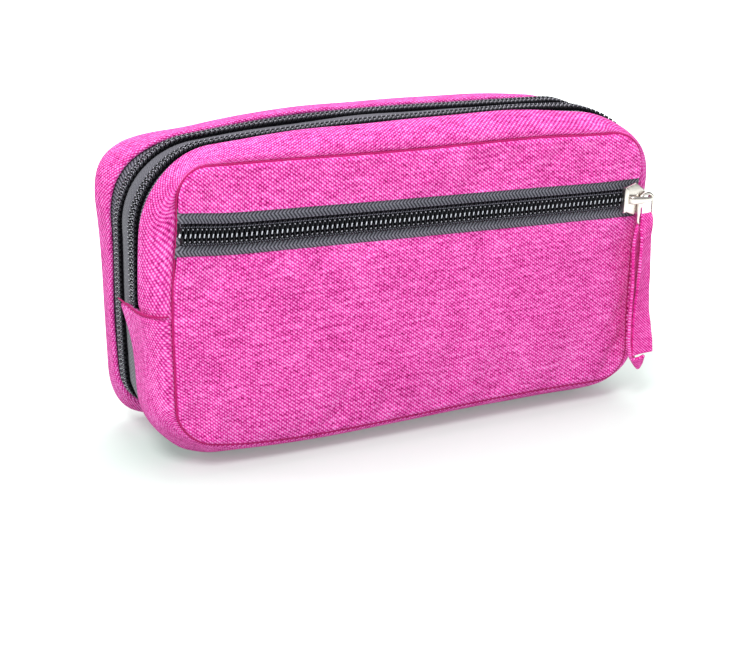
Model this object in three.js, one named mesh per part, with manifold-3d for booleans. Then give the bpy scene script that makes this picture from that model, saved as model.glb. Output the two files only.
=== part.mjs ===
// Soft zipped cooling case for insulin pens, standing on its long lower side.
// Millimetres, +Z up. The front faces -Y and the origin is on the floor below the middle.
import * as THREE from 'three';
import { mergeVertices } from 'three/addons/utils/BufferGeometryUtils.js';
import Module from 'manifold-3d';

const wasm = await Module();
wasm.setup();

// Girth of the case, at the zips
const bodyHalfWidth = 98;
const bodyHeight = 109;
const cornerRadius = 26.5;
const sideBow = 0.8;
const frontArch = 7;
const rearArch = 6;

// Outline of the front and rear panels, where they are sewn in: the gusset rolls over that far
const rollSide = 8;
const rollTop = 1.9;
const rollCorner = 10.1;
const seamHalfWidth = bodyHalfWidth - rollSide;
const seamBottom = 10.6;
const seamTop = bodyHeight - rollTop;
const seamRadius = cornerRadius - rollCorner;
const seamDepth = 61;
const rearSeamY = 31;
const frontSeamY = rearSeamY - seamDepth;

// Cloth and board
const wall = 2;
const fit = 0.3;
const tapeThick = 0.6;
const tapeRecess = 1.8;
const frontCrown = 2.2;
const rearCrown = 1.6;
const panelThick = 1.6;
const seamStep = 0.6;

// Where the girth is divided: the front counts from the front seam and the rear from the rear one
const frontRoll = 10.8;
const frontZipInset = 7.2;
const baseLap = 4;
const rearRoll = 17.2;
const rearZipInset = 8.3;
const stripLap = 12;
const frontEdgeY = frontSeamY + frontRoll;
const frontZipY = frontEdgeY + frontZipInset;
const baseEdgeY = frontZipY + baseLap;
const rearEdgeY = rearSeamY - rearRoll;
const rearZipY = rearEdgeY - rearZipInset;
const stripEndY = rearSeamY - stripLap;
const stripInset = 1.9;
const stripHalf = bodyHalfWidth - cornerRadius - stripInset;
const foldDrop = 50.6;
const foldZ = bodyHeight - foldDrop;
const foldGap = 0.4;

// Perimeter zips: half a chain is a strip of coil with serrated tips
const chainHalf = 2.8;
const chainGap = 0.2;
const chainThick = 1.4;
const tapeEdge = 1.3;
const toothDepth = 0.9;
const rimPitch = 7;
const bottomChainGap = 2.4;

// Pocket zip in the front panel
const zipDrop = 23.23;
const zipTilt = 0.02176;
const zipBare = 14.2;
const zipTapeInset = 2.4;
const pocketTapeProud = 1.7;
const pocketTapeFront = frontSeamY - pocketTapeProud;
const pitch = 1.8;
const toothWidth = 0.55;
const combBar = 1.1;
const combReach = 2.85;
const combOverlap = 0.6;
const chainEndInset = 3.8;
const chainStartInset = 5;
const zipCentreZ = seamTop - zipDrop;
const zipTapeHalf = seamHalfWidth - zipTapeInset;
const chainEndX = seamHalfWidth - chainEndInset;
const chainStartX = chainStartInset - seamHalfWidth;

// Slider, the same casting on all three zips, drawn with its zip along X
const sliderInset = 2.6;
const sliderX = seamHalfWidth - sliderInset;
const sliderHalf = 6;
const mouthHalf = 4.35;
const shoulderHalf = 6.05;
const shoulderX = -0.4;
const noseHalf = 4.6;
const plateThick = 1.3;
const channel = 1.7;
const backThick = 0.8;
const backGap = 0.3;
const backStartX = -5.4;
const backEndX = 1.9;
const backHalf = 5.4;
const wedgeStartX = -0.6;
const wedgeEndX = 1.7;
const wedgeHalf = 0.9;
const bridgeStartX = -3;
const bridgeEndX = 5.6;
const bridgeHigh = 3.4;
const bridgeThick = 1.2;
const bridgeHalf = 1.2;
const barThick = 0.7;
const barLong = 1.3;

// Wire rings and cloth pulls
const wireRadius = 0.6;
const ringHalfWide = 3.1;
const ringHalfTall = 5.7;
const ringRadius = 1.2;
const ringDrop = 3.5;
const ringShift = 5;
const ringSides = 6;
const strapThick = 0.9;
const strapTopWidth = 3.4;
const strapWidth = 9.3;
const strapBottomZ = 17.5;
const sideStrap = 22;
const sideStrapWidth = 6;
const sideRingHalfTall = 6;
const sideRingHalfWide = 3.9;
const sideRingShift = 2;
const strapForward = 0.6;
const strapAside = 1.5;
const strapTurned = 5;
const strapTurnForward = 1.8;
const frontSliderAbove = 7;
const frontSliderZ = foldZ + frontSliderAbove;
const rearSliderZ = 44;

// Inside: divider, pen elastics, net pocket
const dividerThick = 2.5;
const dividerY = -4.5;
const boardInset = 2.8;
const penHalfWidth = 8.6;
const penDepth = 15.6;
const elasticThick = 1;
const elasticWide = 20;
const elasticX = 46;
const penLowZ = 34;
const penHighZ = 70;
const elasticFoot = 5;
const netHalfWidth = 66;
const netBottom = 14;
const netTop = 66;
const netPuff = 5.2;
const netThick = 0.8;
const bindingTall = 7;
const bindingThick = 0.9;

// Inside: pocket liner in the front flap
const linerDepth = 6;
const linerWall = 0.7;
const linerInset = 2;

// Inside: insulated rear shell
const foamThick = 3.4;
const foilThick = 0.6;
const foilClear = 0.8;
const gelHalfWidth = 66;
const gelBottom = 16;
const gelTop = 92;
const gelThick = 8.6;
const gelEdge = 0.8;
const sleeveTop = 62;
const sleeveThick = 0.7;
const sleeveMargin = 4;

// Finishes
const pink = { color: 0xe05f8d, roughness: 0.92, metalness: 0 };
const grey = { color: 0x4a4c52, roughness: 0.85, metalness: 0 };
const coil = { color: 0x2b2c30, roughness: 0.45, metalness: 0 };
const metal = { color: 0xb9b8b4, roughness: 0.3, metalness: 1 };
const foil = { color: 0xd4d7da, roughness: 0.35, metalness: 0.6 };
const foam = { color: 0xe9e7e0, roughness: 0.95, metalness: 0 };
const gel = { color: 0x7fb7d6, roughness: 0.3, metalness: 0 };

// Counts of facets, which follow no size
const cornerSteps = 6;
const sideSteps = 2;
const topSteps = 6;
const domeSteps = 8;
const panelColumns = 12;
const panelRows = 6;
const wholePanelRows = 14;

const lerp = THREE.MathUtils.lerp;

// The girth is walked from the middle of the bottom, to the right, over the top and back
const straightHalf = bodyHalfWidth - cornerRadius;
const cornerArc = cornerRadius * Math.PI / 2;
const sideStraight = bodyHeight - 2 * cornerRadius;
const rimParts = [
  { long: straightHalf, steps: topSteps / 2 }, { long: cornerArc, steps: cornerSteps },
  { long: sideStraight, steps: sideSteps }, { long: cornerArc, steps: cornerSteps },
  { long: 2 * straightHalf, steps: topSteps }, { long: cornerArc, steps: cornerSteps },
  { long: sideStraight, steps: sideSteps }, { long: cornerArc, steps: cornerSteps },
  { long: straightHalf, steps: topSteps / 2 },
];
const girth = rimParts.reduce((sum, part) => sum + part.long, 0);
const rightAt = (z) => straightHalf + cornerArc + z - cornerRadius;
const leftAt = (z) => girth - rightAt(z);
const foldShare = (foldZ - cornerRadius) / sideStraight;

function archAt(y) {
  const share = THREE.MathUtils.clamp((y - frontEdgeY) / (rearEdgeY - frontEdgeY), 0, 1);
  return lerp(frontArch, rearArch, share);
}

// Size of the outline at a level: spread 0 is the panel seam and 1 is the full girth
function outlineSize(spread, inset) {
  return {
    half: lerp(seamHalfWidth, bodyHalfWidth, spread) - inset,
    low: lerp(seamBottom, 0, spread) + inset,
    high: lerp(seamTop, bodyHeight, spread) - inset,
    radius: lerp(seamRadius, cornerRadius, spread) - inset,
  };
}

// On the straight sides the fold stays level from the seam out to the full girth
function rimPoint(s, spread, inset, y) {
  const { half, low, high, radius } = outlineSize(spread, inset);
  const sideHeight = (share) => (share < foldShare
    ? lerp(low + radius, foldZ, share / foldShare)
    : lerp(foldZ, high - radius, (share - foldShare) / (1 - foldShare)));
  let rest = ((s % girth) + girth) % girth;
  let k = 0;
  while (k < rimParts.length - 1 && rest > rimParts[k].long) {
    rest -= rimParts[k].long;
    k += 1;
  }
  const share = rest / rimParts[k].long;
  const inner = half - radius;
  const round = (cx, cz, turn) => [cx + radius * Math.cos(turn), cz + radius * Math.sin(turn)];
  const quarter = share * Math.PI / 2;
  const places = [
    () => [inner * share, low],
    () => round(inner, low + radius, quarter - Math.PI / 2),
    () => [half, sideHeight(share)],
    () => round(inner, high - radius, quarter),
    () => [lerp(inner, -inner, share), high],
    () => round(-inner, high - radius, quarter + Math.PI / 2),
    () => [-half, sideHeight(1 - share)],
    () => round(-inner, low + radius, quarter + Math.PI),
    () => [lerp(-inner, 0, share), low],
  ];
  const [x, z] = places[k]();
  const across = x / half;
  const up = (z - (low + high) / 2) / ((high - low) / 2);
  const arch = up > 0 ? archAt(y) * spread * (1 - across * across) * up : 0;
  return new THREE.Vector3(x + sideBow * spread * (1 - up * up) * across, y, z + arch);
}

// Stations along the girth between two places, with every end of a round corner among them
function stations(from, to) {
  const list = [from];
  for (let turn = Math.floor(from / girth); turn * girth < to; turn += 1) {
    let start = turn * girth;
    for (const part of rimParts) {
      for (let i = 1; i <= part.steps; i += 1) {
        const s = start + part.long * i / part.steps;
        if (s > from + fit && s < to - fit) list.push(s);
      }
      start += part.long;
    }
  }
  list.push(to);
  return list;
}

function closedGeometry(points, triangles) {
  const geometry = new THREE.BufferGeometry();
  const flat = points.flatMap((p) => [p.x, p.y, p.z]);
  geometry.setAttribute('position', new THREE.Float32BufferAttribute(flat, 3));
  let volume = 0;
  for (const [a, b, c] of triangles) {
    volume += points[a].dot(new THREE.Vector3().crossVectors(points[b], points[c]));
  }
  const facing = volume < 0 ? triangles.map(([a, b, c]) => [a, c, b]) : triangles;
  geometry.setIndex(facing.flat());
  geometry.computeVertexNormals();
  return geometry;
}

// A sheet with thickness: two grids of points, [along][across], joined round their edges
function thickSheet(outer, inner, ring = false) {
  const across = outer[0].length;
  const points = [...outer.flat(), ...inner.flat()];
  const back = outer.length * across;
  const triangles = [];
  const quad = (a, b, c, d) => triangles.push([a, b, c], [a, c, d]);
  const rows = ring ? outer.length : outer.length - 1;
  for (let i = 0; i < rows; i += 1) {
    const here = i * across;
    const next = ((i + 1) % outer.length) * across;
    for (let j = 0; j < across - 1; j += 1) {
      quad(here + j, next + j, next + j + 1, here + j + 1);
      quad(back + here + j, back + here + j + 1, back + next + j + 1, back + next + j);
    }
    const last = across - 1;
    quad(here, back + here, back + next, next);
    quad(here + last, next + last, back + next + last, back + here + last);
  }
  if (!ring) {
    const end = (outer.length - 1) * across;
    for (let j = 0; j < across - 1; j += 1) {
      quad(j, j + 1, back + j + 1, back + j);
      quad(end + j, back + end + j, back + end + j + 1, end + j + 1);
    }
  }
  return closedGeometry(points, triangles);
}

// A band round the girth: each level gives a spread, an inset and a place from front to rear
function girthBand(list, outerLevels, innerLevels, ring = false) {
  const grid = (levels) => list.map((s) => {
    const here = typeof levels === 'function' ? levels(s) : levels;
    return here.map((level) => rimPoint(s, level.spread ?? 1, level.inset, level.y));
  });
  return thickSheet(grid(outerLevels), grid(innerLevels), ring);
}

// A flat plate of an outline in X and Z, from its front face to its rear face
function plate(shape, frontY, rearY, curveSegments = cornerSteps) {
  const depth = rearY - frontY;
  const geometry = new THREE.ExtrudeGeometry(shape, { depth, bevelEnabled: false, curveSegments });
  geometry.rotateX(Math.PI / 2);
  geometry.translate(0, rearY, 0);
  return geometry;
}

function shapeOf(list) {
  return new THREE.Shape(list.map(([x, y]) => new THREE.Vector2(x, y)));
}

function girthShape(inset, y, spread = 1) {
  const points = stations(0, girth).slice(0, -1).map((s) => rimPoint(s, spread, inset, y));
  return shapeOf(points.map((p) => [p.x, p.z]));
}

function toSolid(geometry) {
  const bare = geometry.clone();
  bare.deleteAttribute('normal');
  bare.deleteAttribute('uv');
  const merged = mergeVertices(bare);
  const vertProperties = new Float32Array(merged.getAttribute('position').array);
  const triVerts = new Uint32Array(merged.getIndex().array);
  return new wasm.Manifold(new wasm.Mesh({ numProp: 3, vertProperties, triVerts }));
}

function fromSolid(solid) {
  const mesh = solid.getMesh();
  const geometry = new THREE.BufferGeometry();
  geometry.setAttribute('position', new THREE.BufferAttribute(mesh.vertProperties, 3));
  geometry.setIndex(new THREE.BufferAttribute(mesh.triVerts, 1));
  geometry.computeVertexNormals();
  return geometry;
}

const joined = (first, ...others) => fromSolid(
  others.reduce((sum, geometry) => sum.add(toSolid(geometry)), toSolid(first)),
);
const cutBy = (first, ...others) => fromSolid(
  others.reduce((sum, geometry) => sum.subtract(toSolid(geometry)), toSolid(first)),
);

const part = new THREE.Group();
function place(name, geometry, finish, parent = part) {
  const mesh = new THREE.Mesh(geometry, new THREE.MeshStandardMaterial(finish));
  mesh.name = name;
  parent.add(mesh);
  return mesh;
}

// Rolled gussets: a quarter of an ellipse from the panel seam out to the full girth
function rollLevels(seamY, edgeY, thick) {
  const depth = edgeY - seamY;
  const way = Math.sign(depth);
  const rollShares = [0, 0.25, 0.5, 0.75, 1];
  const outer = rollShares.map((share) => {
    const turn = share * Math.PI / 2;
    return {
      spread: Math.sin(turn), inset: 0, y: seamY + depth * (1 - Math.cos(turn)),
    };
  });
  const inner = rollShares.map((share) => {
    const turn = share * Math.PI / 2;
    const y = seamY + way * thick + (depth - way * thick) * (1 - Math.cos(turn));
    return { spread: Math.sin(turn), inset: thick * Math.sin(turn), y };
  });
  return { outer, inner };
}

function addGussets() {
  const front = rollLevels(frontSeamY, frontEdgeY, wall);
  place('front_gusset', girthBand(
    stations(rightAt(foldZ + foldGap), leftAt(foldZ + foldGap)), front.outer, front.inner,
  ), pink);
  const baseList = stations(-girth + leftAt(foldZ), rightAt(foldZ));
  const edge = { inset: 0, y: baseEdgeY };
  const under = { inset: wall, y: baseEdgeY };
  place('base_gusset', girthBand(
    baseList, [...front.outer, edge], [...front.inner, under],
  ), pink);
  const rollEnd = stripEndY + 2 * fit;
  const rear = rollLevels(rearSeamY, rollEnd, wall);
  const flat = stripHalf + fit;
  const turn = flat + fit;
  const list = [
    ...stations(0, flat), ...stations(turn, girth - turn), ...stations(girth - flat, girth),
  ].slice(0, -1);
  const edgeAt = (s) => (s <= flat || s >= girth - flat ? stripEndY + fit : rearEdgeY);
  place('rear_gusset', girthBand(
    list,
    (s) => [...rear.outer, { inset: 0, y: edgeAt(s) }],
    (s) => [...rear.inner, { inset: wall, y: edgeAt(s) }],
    true,
  ), pink);
  place('base_strip', girthBand(
    stations(-stripHalf, stripHalf),
    [{ inset: 0, y: baseEdgeY + fit }, { inset: 0, y: stripEndY }],
    [{ inset: wall, y: baseEdgeY + fit }, { inset: wall, y: stripEndY }],
  ), pink);
}

// Zip tapes round the girth, recessed behind the gusset edges
function addGirthTapes() {
  const outer = tapeRecess;
  const inner = tapeRecess + tapeThick;
  const coreFront = (s) => (aboveBase(s) ? frontZipY + tapeEdge : baseEdgeY + fit);
  const coreLevels = (inset) => (s) => [
    { inset, y: coreFront(s) }, { inset, y: rearZipY - tapeEdge },
  ];
  place('divider_band', girthBand(rearZipStations(), coreLevels(outer), coreLevels(inner)), grey);
  const flapLevels = (inset) => [
    { inset, y: frontEdgeY + fit }, { inset, y: frontZipY - tapeEdge },
  ];
  place('front_zip_flap_tape', girthBand(
    stations(rightAt(foldZ + foldGap), leftAt(foldZ + foldGap)), flapLevels(outer), flapLevels(inner),
  ), grey);
  const shellLevels = (inset) => [
    { inset, y: rearZipY + tapeEdge }, { inset, y: rearEdgeY - fit },
  ];
  const turn = stripHalf + 2 * fit;
  place('rear_zip_shell_tape', girthBand(
    stations(turn, girth - turn), shellLevels(outer), shellLevels(inner),
  ), grey);
}

const aboveBase = (s) => s > rightAt(foldZ + fit) && s < leftAt(foldZ + fit);

function rearZipStations() {
  const turn = stripHalf + 2 * fit;
  const low = rightAt(foldZ);
  const high = rightAt(foldZ + foldGap);
  return [
    ...stations(turn, low), ...stations(high, girth - high), ...stations(girth - low, girth - turn),
  ];
}

// Half a zip chain round the girth: a strip of coil whose free edge is serrated
function addChain(name, from, to, zipY, way, sliderZ) {
  const teeth = Math.round((to - from) / rimPitch);
  const list = Array.from({ length: 2 * teeth + 1 }, (_, i) => lerp(from, to, i / (2 * teeth)));
  const levels = (inset) => (s) => {
    const odd = (Math.round((s - from) / (to - from) * 2 * teeth) + (way > 0 ? 1 : 0)) % 2;
    const parted = Math.abs(s - rightAt(sliderZ)) < sliderHalf + rimPitch / 2;
    const tip = parted ? wedgeHalf + fit : chainGap + (odd ? 0 : toothDepth);
    return [{ inset, y: zipY + way * chainHalf }, { inset, y: zipY + way * tip }];
  };
  const top = tapeRecess - chainThick;
  const under = tapeRecess - fit / 2;
  place(name, girthBand(list, levels(top), levels(under)), coil);
}

function addChains() {
  const coreFrom = rightAt(frontSliderZ - wedgeStartX + fit);
  const flapFrom = rightAt(frontSliderZ + sliderHalf + fit);
  const end = leftAt(foldZ + foldGap);
  addChain('front_zip_core_teeth', coreFrom, end, frontZipY, 1, frontSliderZ);
  addChain('front_zip_flap_teeth', flapFrom, end, frontZipY, -1, frontSliderZ);
  const low = stripHalf + bottomChainGap;
  addChain('rear_zip_core_teeth', low, girth - low, rearZipY, -1, rearSliderZ);
  addChain('rear_zip_shell_teeth', low, girth - low, rearZipY, 1, rearSliderZ);
}

// Half width of a panel at a height, inside its seam
function panelHalf(z) {
  const { half, low, high, radius } = outlineSize(0, fit);
  const past = Math.max(0, z - (high - radius), low + radius - z);
  return half - radius + Math.sqrt(Math.max(0, radius * radius - past * past));
}

// A crowned panel between two lines that run across it
function crownedPanel(lowLine, highLine, seamY, crown, way, rows = panelRows) {
  const middle = (seamBottom + seamTop) / 2;
  const tall = (seamTop - seamBottom) / 2;
  const grid = (depth) => Array.from({ length: panelColumns + 1 }, (_, i) => {
    const u = 2 * i / panelColumns - 1;
    return Array.from({ length: rows + 1 }, (_, j) => {
      const v = (1 - Math.cos(Math.PI * j / rows)) / 2;
      const side = Math.sign(u) * seamHalfWidth;
      const x = u * panelHalf(lerp(lowLine(side), highLine(side), v));
      const z = lerp(lowLine(x), highLine(x), v);
      const swell = (1 - (x / seamHalfWidth) ** 4) * (1 - Math.min(1, Math.abs((z - middle) / tall)) ** 4);
      return new THREE.Vector3(x, seamY + way * (depth + crown * swell), z);
    });
  });
  return thickSheet(grid(seamStep), grid(seamStep - panelThick));
}

function addPanels() {
  const tilt = Math.tan(zipTilt);
  const tapeLow = (x) => zipCentreZ - zipBare / 2 - fit - tilt * x;
  const tapeHigh = (x) => zipCentreZ + zipBare / 2 + fit - tilt * x;
  const low = () => seamBottom + fit;
  const high = () => seamTop - fit;
  const fold = () => foldZ;
  const foldTop = () => foldZ + foldGap;
  place('front_panel_lower', crownedPanel(low, fold, frontSeamY, frontCrown, -1), pink);
  place('pocket_panel', crownedPanel(foldTop, tapeLow, frontSeamY, frontCrown, -1), pink);
  place('pocket_top_panel', crownedPanel(tapeHigh, high, frontSeamY, frontCrown, -1), pink);
  place('rear_panel', crownedPanel(
    low, high, rearSeamY, rearCrown, 1, wholePanelRows,
  ), pink);
}

// Pocket zip, built level and then tilted as it is sewn
const zipGroup = new THREE.Group();
zipGroup.position.set(0, pocketTapeFront, zipCentreZ);
zipGroup.rotation.y = zipTilt;
part.add(zipGroup);

function combShape(way, shift) {
  const root = way * (combReach - combBar);
  const heel = way * combReach;
  const tip = -way * combOverlap;
  const count = Math.floor((chainEndX - chainStartX - shift - toothWidth) / pitch);
  const points = [[chainEndX, heel], [chainStartX, heel], [chainStartX, root]];
  for (let i = 0; i < count; i += 1) {
    const x = chainStartX + shift + pitch * i + toothWidth / 2;
    points.push([x, root], [x, tip], [x + toothWidth, tip], [x + toothWidth, root]);
  }
  points.push([chainEndX, root]);
  return shapeOf(points);
}

function addPocketZip() {
  const tape = (way) => shapeOf([
    [-zipTapeHalf, way * tapeEdge], [zipTapeHalf, way * tapeEdge],
    [zipTapeHalf, way * zipBare / 2], [-zipTapeHalf, way * zipBare / 2],
  ]);
  place('pocket_tape_upper', plate(tape(1), 0, tapeThick), grey, zipGroup);
  place('pocket_tape_lower', plate(tape(-1), 0, tapeThick), grey, zipGroup);
  const under = -fit / 2;
  place('pocket_teeth_upper', plate(combShape(1, 0), under - chainThick, under), coil, zipGroup);
  place('pocket_teeth_lower', plate(combShape(-1, pitch / 2), under - chainThick, under), coil, zipGroup);
  const stop = shapeOf([
    [chainStartX - fit - barLong, -combReach], [chainStartX - fit, -combReach],
    [chainStartX - fit, combReach], [chainStartX - fit - barLong, combReach],
  ]);
  place('pocket_zip_stop', plate(stop, under - chainThick, under), metal, zipGroup);
}

// Slider: hexagonal plate, rear plate, the wedge that joins them, mouth bar and bridge
function sliderGeometry() {
  const front = -channel;
  const face = front - plateThick;
  const hexagon = shapeOf([
    [-sliderHalf, -mouthHalf], [shoulderX, -shoulderHalf], [sliderHalf, -noseHalf],
    [sliderHalf, noseHalf], [shoulderX, shoulderHalf], [-sliderHalf, mouthHalf],
  ]);
  const rear = shapeOf([
    [backStartX, -mouthHalf], [shoulderX, -backHalf], [backEndX, -backHalf],
    [backEndX, backHalf], [shoulderX, backHalf], [backStartX, mouthHalf],
  ]);
  const rearFront = tapeThick + backGap;
  const wedge = shapeOf([
    [wedgeStartX, 0], [(wedgeStartX + wedgeEndX) / 2, -wedgeHalf], [wedgeEndX, -wedgeHalf],
    [wedgeEndX, wedgeHalf], [(wedgeStartX + wedgeEndX) / 2, wedgeHalf],
  ]);
  const mouth = shapeOf([
    [-sliderHalf, -mouthHalf], [-sliderHalf + barLong, -mouthHalf],
    [-sliderHalf + barLong, mouthHalf], [-sliderHalf, mouthHalf],
  ]);
  const half = (bridgeEndX - bridgeStartX) / 2;
  const arc = (long, high, from, to) => Array.from({ length: domeSteps + 1 }, (_, i) => {
    const turn = lerp(from, to, i / domeSteps);
    return [long * Math.cos(turn), high * Math.sin(turn)];
  });
  const arch = shapeOf([
    ...arc(half, bridgeHigh, Math.PI, 0),
    ...arc(half - bridgeThick, bridgeHigh - bridgeThick, 0, Math.PI),
  ]);
  const bridge = new THREE.ExtrudeGeometry(arch, { depth: 2 * bridgeHalf, bevelEnabled: false });
  bridge.rotateX(Math.PI);
  bridge.translate((bridgeStartX + bridgeEndX) / 2, face + fit / 2, bridgeHalf);
  return joined(
    plate(hexagon, face, front),
    plate(rear, rearFront, rearFront + backThick),
    plate(wedge, front - fit / 2, rearFront + fit / 2),
    plate(mouth, face - barThick, face + fit / 2),
    bridge,
  );
}

// Wire ring, a rounded loop in X and Z about its own middle
function wireRing(halfWide, halfTall) {
  const radius = Math.min(ringRadius, halfWide);
  const middle = [];
  const quarterSteps = cornerSteps / 2;
  for (let k = 0; k < 4; k += 1) {
    const cx = (k === 0 || k === 3 ? 1 : -1) * (halfWide - radius);
    const cz = (k < 2 ? 1 : -1) * (halfTall - radius);
    for (let i = 0; i <= quarterSteps; i += 1) {
      const turn = (k + i / quarterSteps) * Math.PI / 2;
      const out = new THREE.Vector3(Math.cos(turn), 0, Math.sin(turn));
      middle.push({ at: new THREE.Vector3(cx, 0, cz).addScaledVector(out, radius), out });
    }
  }
  const points = middle.flatMap(({ at, out }) => Array.from({ length: ringSides }, (_, j) => {
    const turn = 2 * Math.PI * j / ringSides;
    return at.clone().addScaledVector(out, wireRadius * Math.cos(turn))
      .add(new THREE.Vector3(0, wireRadius * Math.sin(turn), 0));
  }));
  const triangles = [];
  for (let i = 0; i < middle.length; i += 1) {
    for (let j = 0; j < ringSides; j += 1) {
      const next = (i + 1) % middle.length;
      const beside = (j + 1) % ringSides;
      const [a, b] = [i * ringSides + j, next * ringSides + j];
      const [c, d] = [next * ringSides + beside, i * ringSides + beside];
      triangles.push([a, b, c], [a, c, d]);
    }
  }
  return closedGeometry(points, triangles);
}

// Cloth strap: a ribbon that follows a curve, with a width and a direction across at each knot
function ribbon(knots, steps, thick) {
  const path = new THREE.CatmullRomCurve3(knots.map((knot) => knot.at), false, 'centripetal');
  const rows = Array.from({ length: steps + 1 }, (_, i) => {
    const t = i / steps;
    const place0 = Math.min(Math.floor(t * (knots.length - 1)), knots.length - 2);
    const share = t * (knots.length - 1) - place0;
    const [a, b] = [knots[place0], knots[place0 + 1]];
    const across = a.across.clone().lerp(b.across, share).normalize();
    const middle = path.getPoint(t);
    const out = path.getTangent(t).cross(across).normalize();
    const half = lerp(a.wide, b.wide, share) / 2;
    const side = (way, depth) => middle.clone().addScaledVector(across, way * half)
      .addScaledVector(out, depth);
    return {
      outer: [side(-1, thick / 2), side(1, thick / 2)],
      inner: [side(-1, -thick / 2), side(1, -thick / 2)],
    };
  });
  return thickSheet(rows.map((row) => row.outer), rows.map((row) => row.inner));
}

// Knots of a strap that folds over a wire: half a turn from its front to its rear
function foldKnots(at, across, wide) {
  const radius = wireRadius + fit + strapThick / 2;
  return [0, 1, 2, 3, 4].map((i) => {
    const turn = i * Math.PI / 4;
    const offset = new THREE.Vector3(0, -radius * Math.cos(turn), radius * Math.sin(turn));
    return { at: at.clone().add(offset), across, wide };
  });
}

const flatWay = new THREE.Vector3(1, 0, 0);
const edgeWay = new THREE.Vector3(0.6, 0.8, 0);
const turningWay = new THREE.Vector3(0.9, 0.4, 0);

function addPocketSlider() {
  const holder = new THREE.Group();
  holder.position.set(sliderX, 0, 0);
  zipGroup.add(holder);
  place('pocket_slider_body', sliderGeometry(), metal, holder);
  const face = pocketTapeFront - channel - plateThick;
  const ringZ = zipCentreZ - Math.sin(zipTilt) * sliderX - ringDrop;
  const ringX = sliderX + ringShift;
  const ringY = face - fit - wireRadius;
  const ring = place('pocket_ring', wireRing(ringHalfWide, ringHalfTall), metal);
  ring.position.set(ringX, ringY, ringZ);
  const wire = new THREE.Vector3(ringX, ringY, ringZ - ringHalfTall);
  const drop = wire.z - strapBottomZ;
  const radius = wireRadius + fit + strapThick / 2;
  const knot = (aside, forward, share, across, widthShare) => ({
    at: new THREE.Vector3(wire.x + aside, wire.y - forward, wire.z - share * drop),
    across,
    wide: strapWidth * widthShare,
  });
  const front = radius + strapForward;
  const knots = [
    knot(strapAside, front, 1, flatWay, 1),
    knot(strapAside, front, 0.6, flatWay, 1),
    knot(strapAside / 2, front, 0.2, flatWay, 0.85),
    ...foldKnots(wire, flatWay, strapTopWidth),
    knot(-strapAside, -strapForward, 0.12, turningWay, 0.7),
    knot(-strapTurned, strapTurnForward, 0.3, edgeWay, 0.95),
    knot(-strapTurned, strapTurnForward, 0.6, edgeWay, 1),
    knot(-strapTurned, strapTurnForward, 0.93, edgeWay, 1),
  ];
  place('pocket_strap', ribbon(knots, 3 * (knots.length - 1), strapThick), pink);
}

// Sliders of the two perimeter zips, on the straight stretch of the right side
function addSideSlider(name, zipY, sliderZ) {
  const seat = rimPoint(rightAt(sliderZ), 1, tapeRecess, zipY);
  const holder = new THREE.Group();
  const basis = new THREE.Matrix4().makeBasis(
    new THREE.Vector3(0, 0, -1), new THREE.Vector3(-1, 0, 0), new THREE.Vector3(0, 1, 0),
  );
  holder.quaternion.setFromRotationMatrix(basis);
  holder.position.copy(seat);
  part.add(holder);
  place(`${name}_slider_body`, sliderGeometry(), metal, holder);
  const pull = new THREE.Group();
  pull.rotation.z = Math.PI / 2;
  const out = channel + plateThick + fit + wireRadius;
  pull.position.set(seat.x + out, zipY, sliderZ - sideRingShift - sideRingHalfTall);
  part.add(pull);
  place(`${name}_slider_ring`, wireRing(sideRingHalfWide, sideRingHalfTall), metal, pull);
  const radius = wireRadius + fit + strapThick / 2;
  const wire = new THREE.Vector3(0, 0, -sideRingHalfTall);
  const leg = (way, share) => ({
    at: new THREE.Vector3(0, way * radius, wire.z - share * sideStrap),
    across: flatWay,
    wide: lerp(sideStrapWidth, strapTopWidth, 1 - Math.min(1, 3 * share)),
  });
  const knots = [
    leg(-1, 1), leg(-1, 0.5), leg(-1, 0.2), ...foldKnots(wire, flatWay, strapTopWidth),
    leg(1, 0.2), leg(1, 0.5), leg(1, 0.9),
  ];
  place(`${name}_slider_strap`, ribbon(knots, 2 * (knots.length - 1), strapThick), pink, pull);
}

// Dome of thin cloth against a board, drawn over a share of its height
function domedSheet(half, low, high, baseY, way, depthAt, thick) {
  const grid = (extra) => Array.from({ length: domeSteps + 1 }, (_, i) => {
    const u = -Math.cos(Math.PI * i / domeSteps);
    return Array.from({ length: panelRows + 1 }, (_, j) => {
      const v = 1 - Math.cos(Math.PI / 2 * j / panelRows);
      return new THREE.Vector3(u * half, baseY + way * (depthAt(u, v) + extra), lerp(low, high, v));
    });
  });
  return thickSheet(grid(0), grid(thick));
}

function addDivider() {
  place('divider_board', plate(
    girthShape(boardInset, dividerY), dividerY, dividerY + dividerThick,
  ), grey);
  const netSwell = (u, v) => netPuff * (1 - u ** 4) * (1 - (1 - v) ** 3);
  const netY = dividerY - fit;
  place('net_pocket', domedSheet(
    netHalfWidth, netBottom, netTop, netY, -1, netSwell, netThick,
  ), grey);
  place('net_pocket_binding', domedSheet(
    netHalfWidth, netTop + fit, netTop + fit + bindingTall, netY, -1,
    (u) => netSwell(u, 1), bindingThick,
  ), grey);
}

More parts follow.
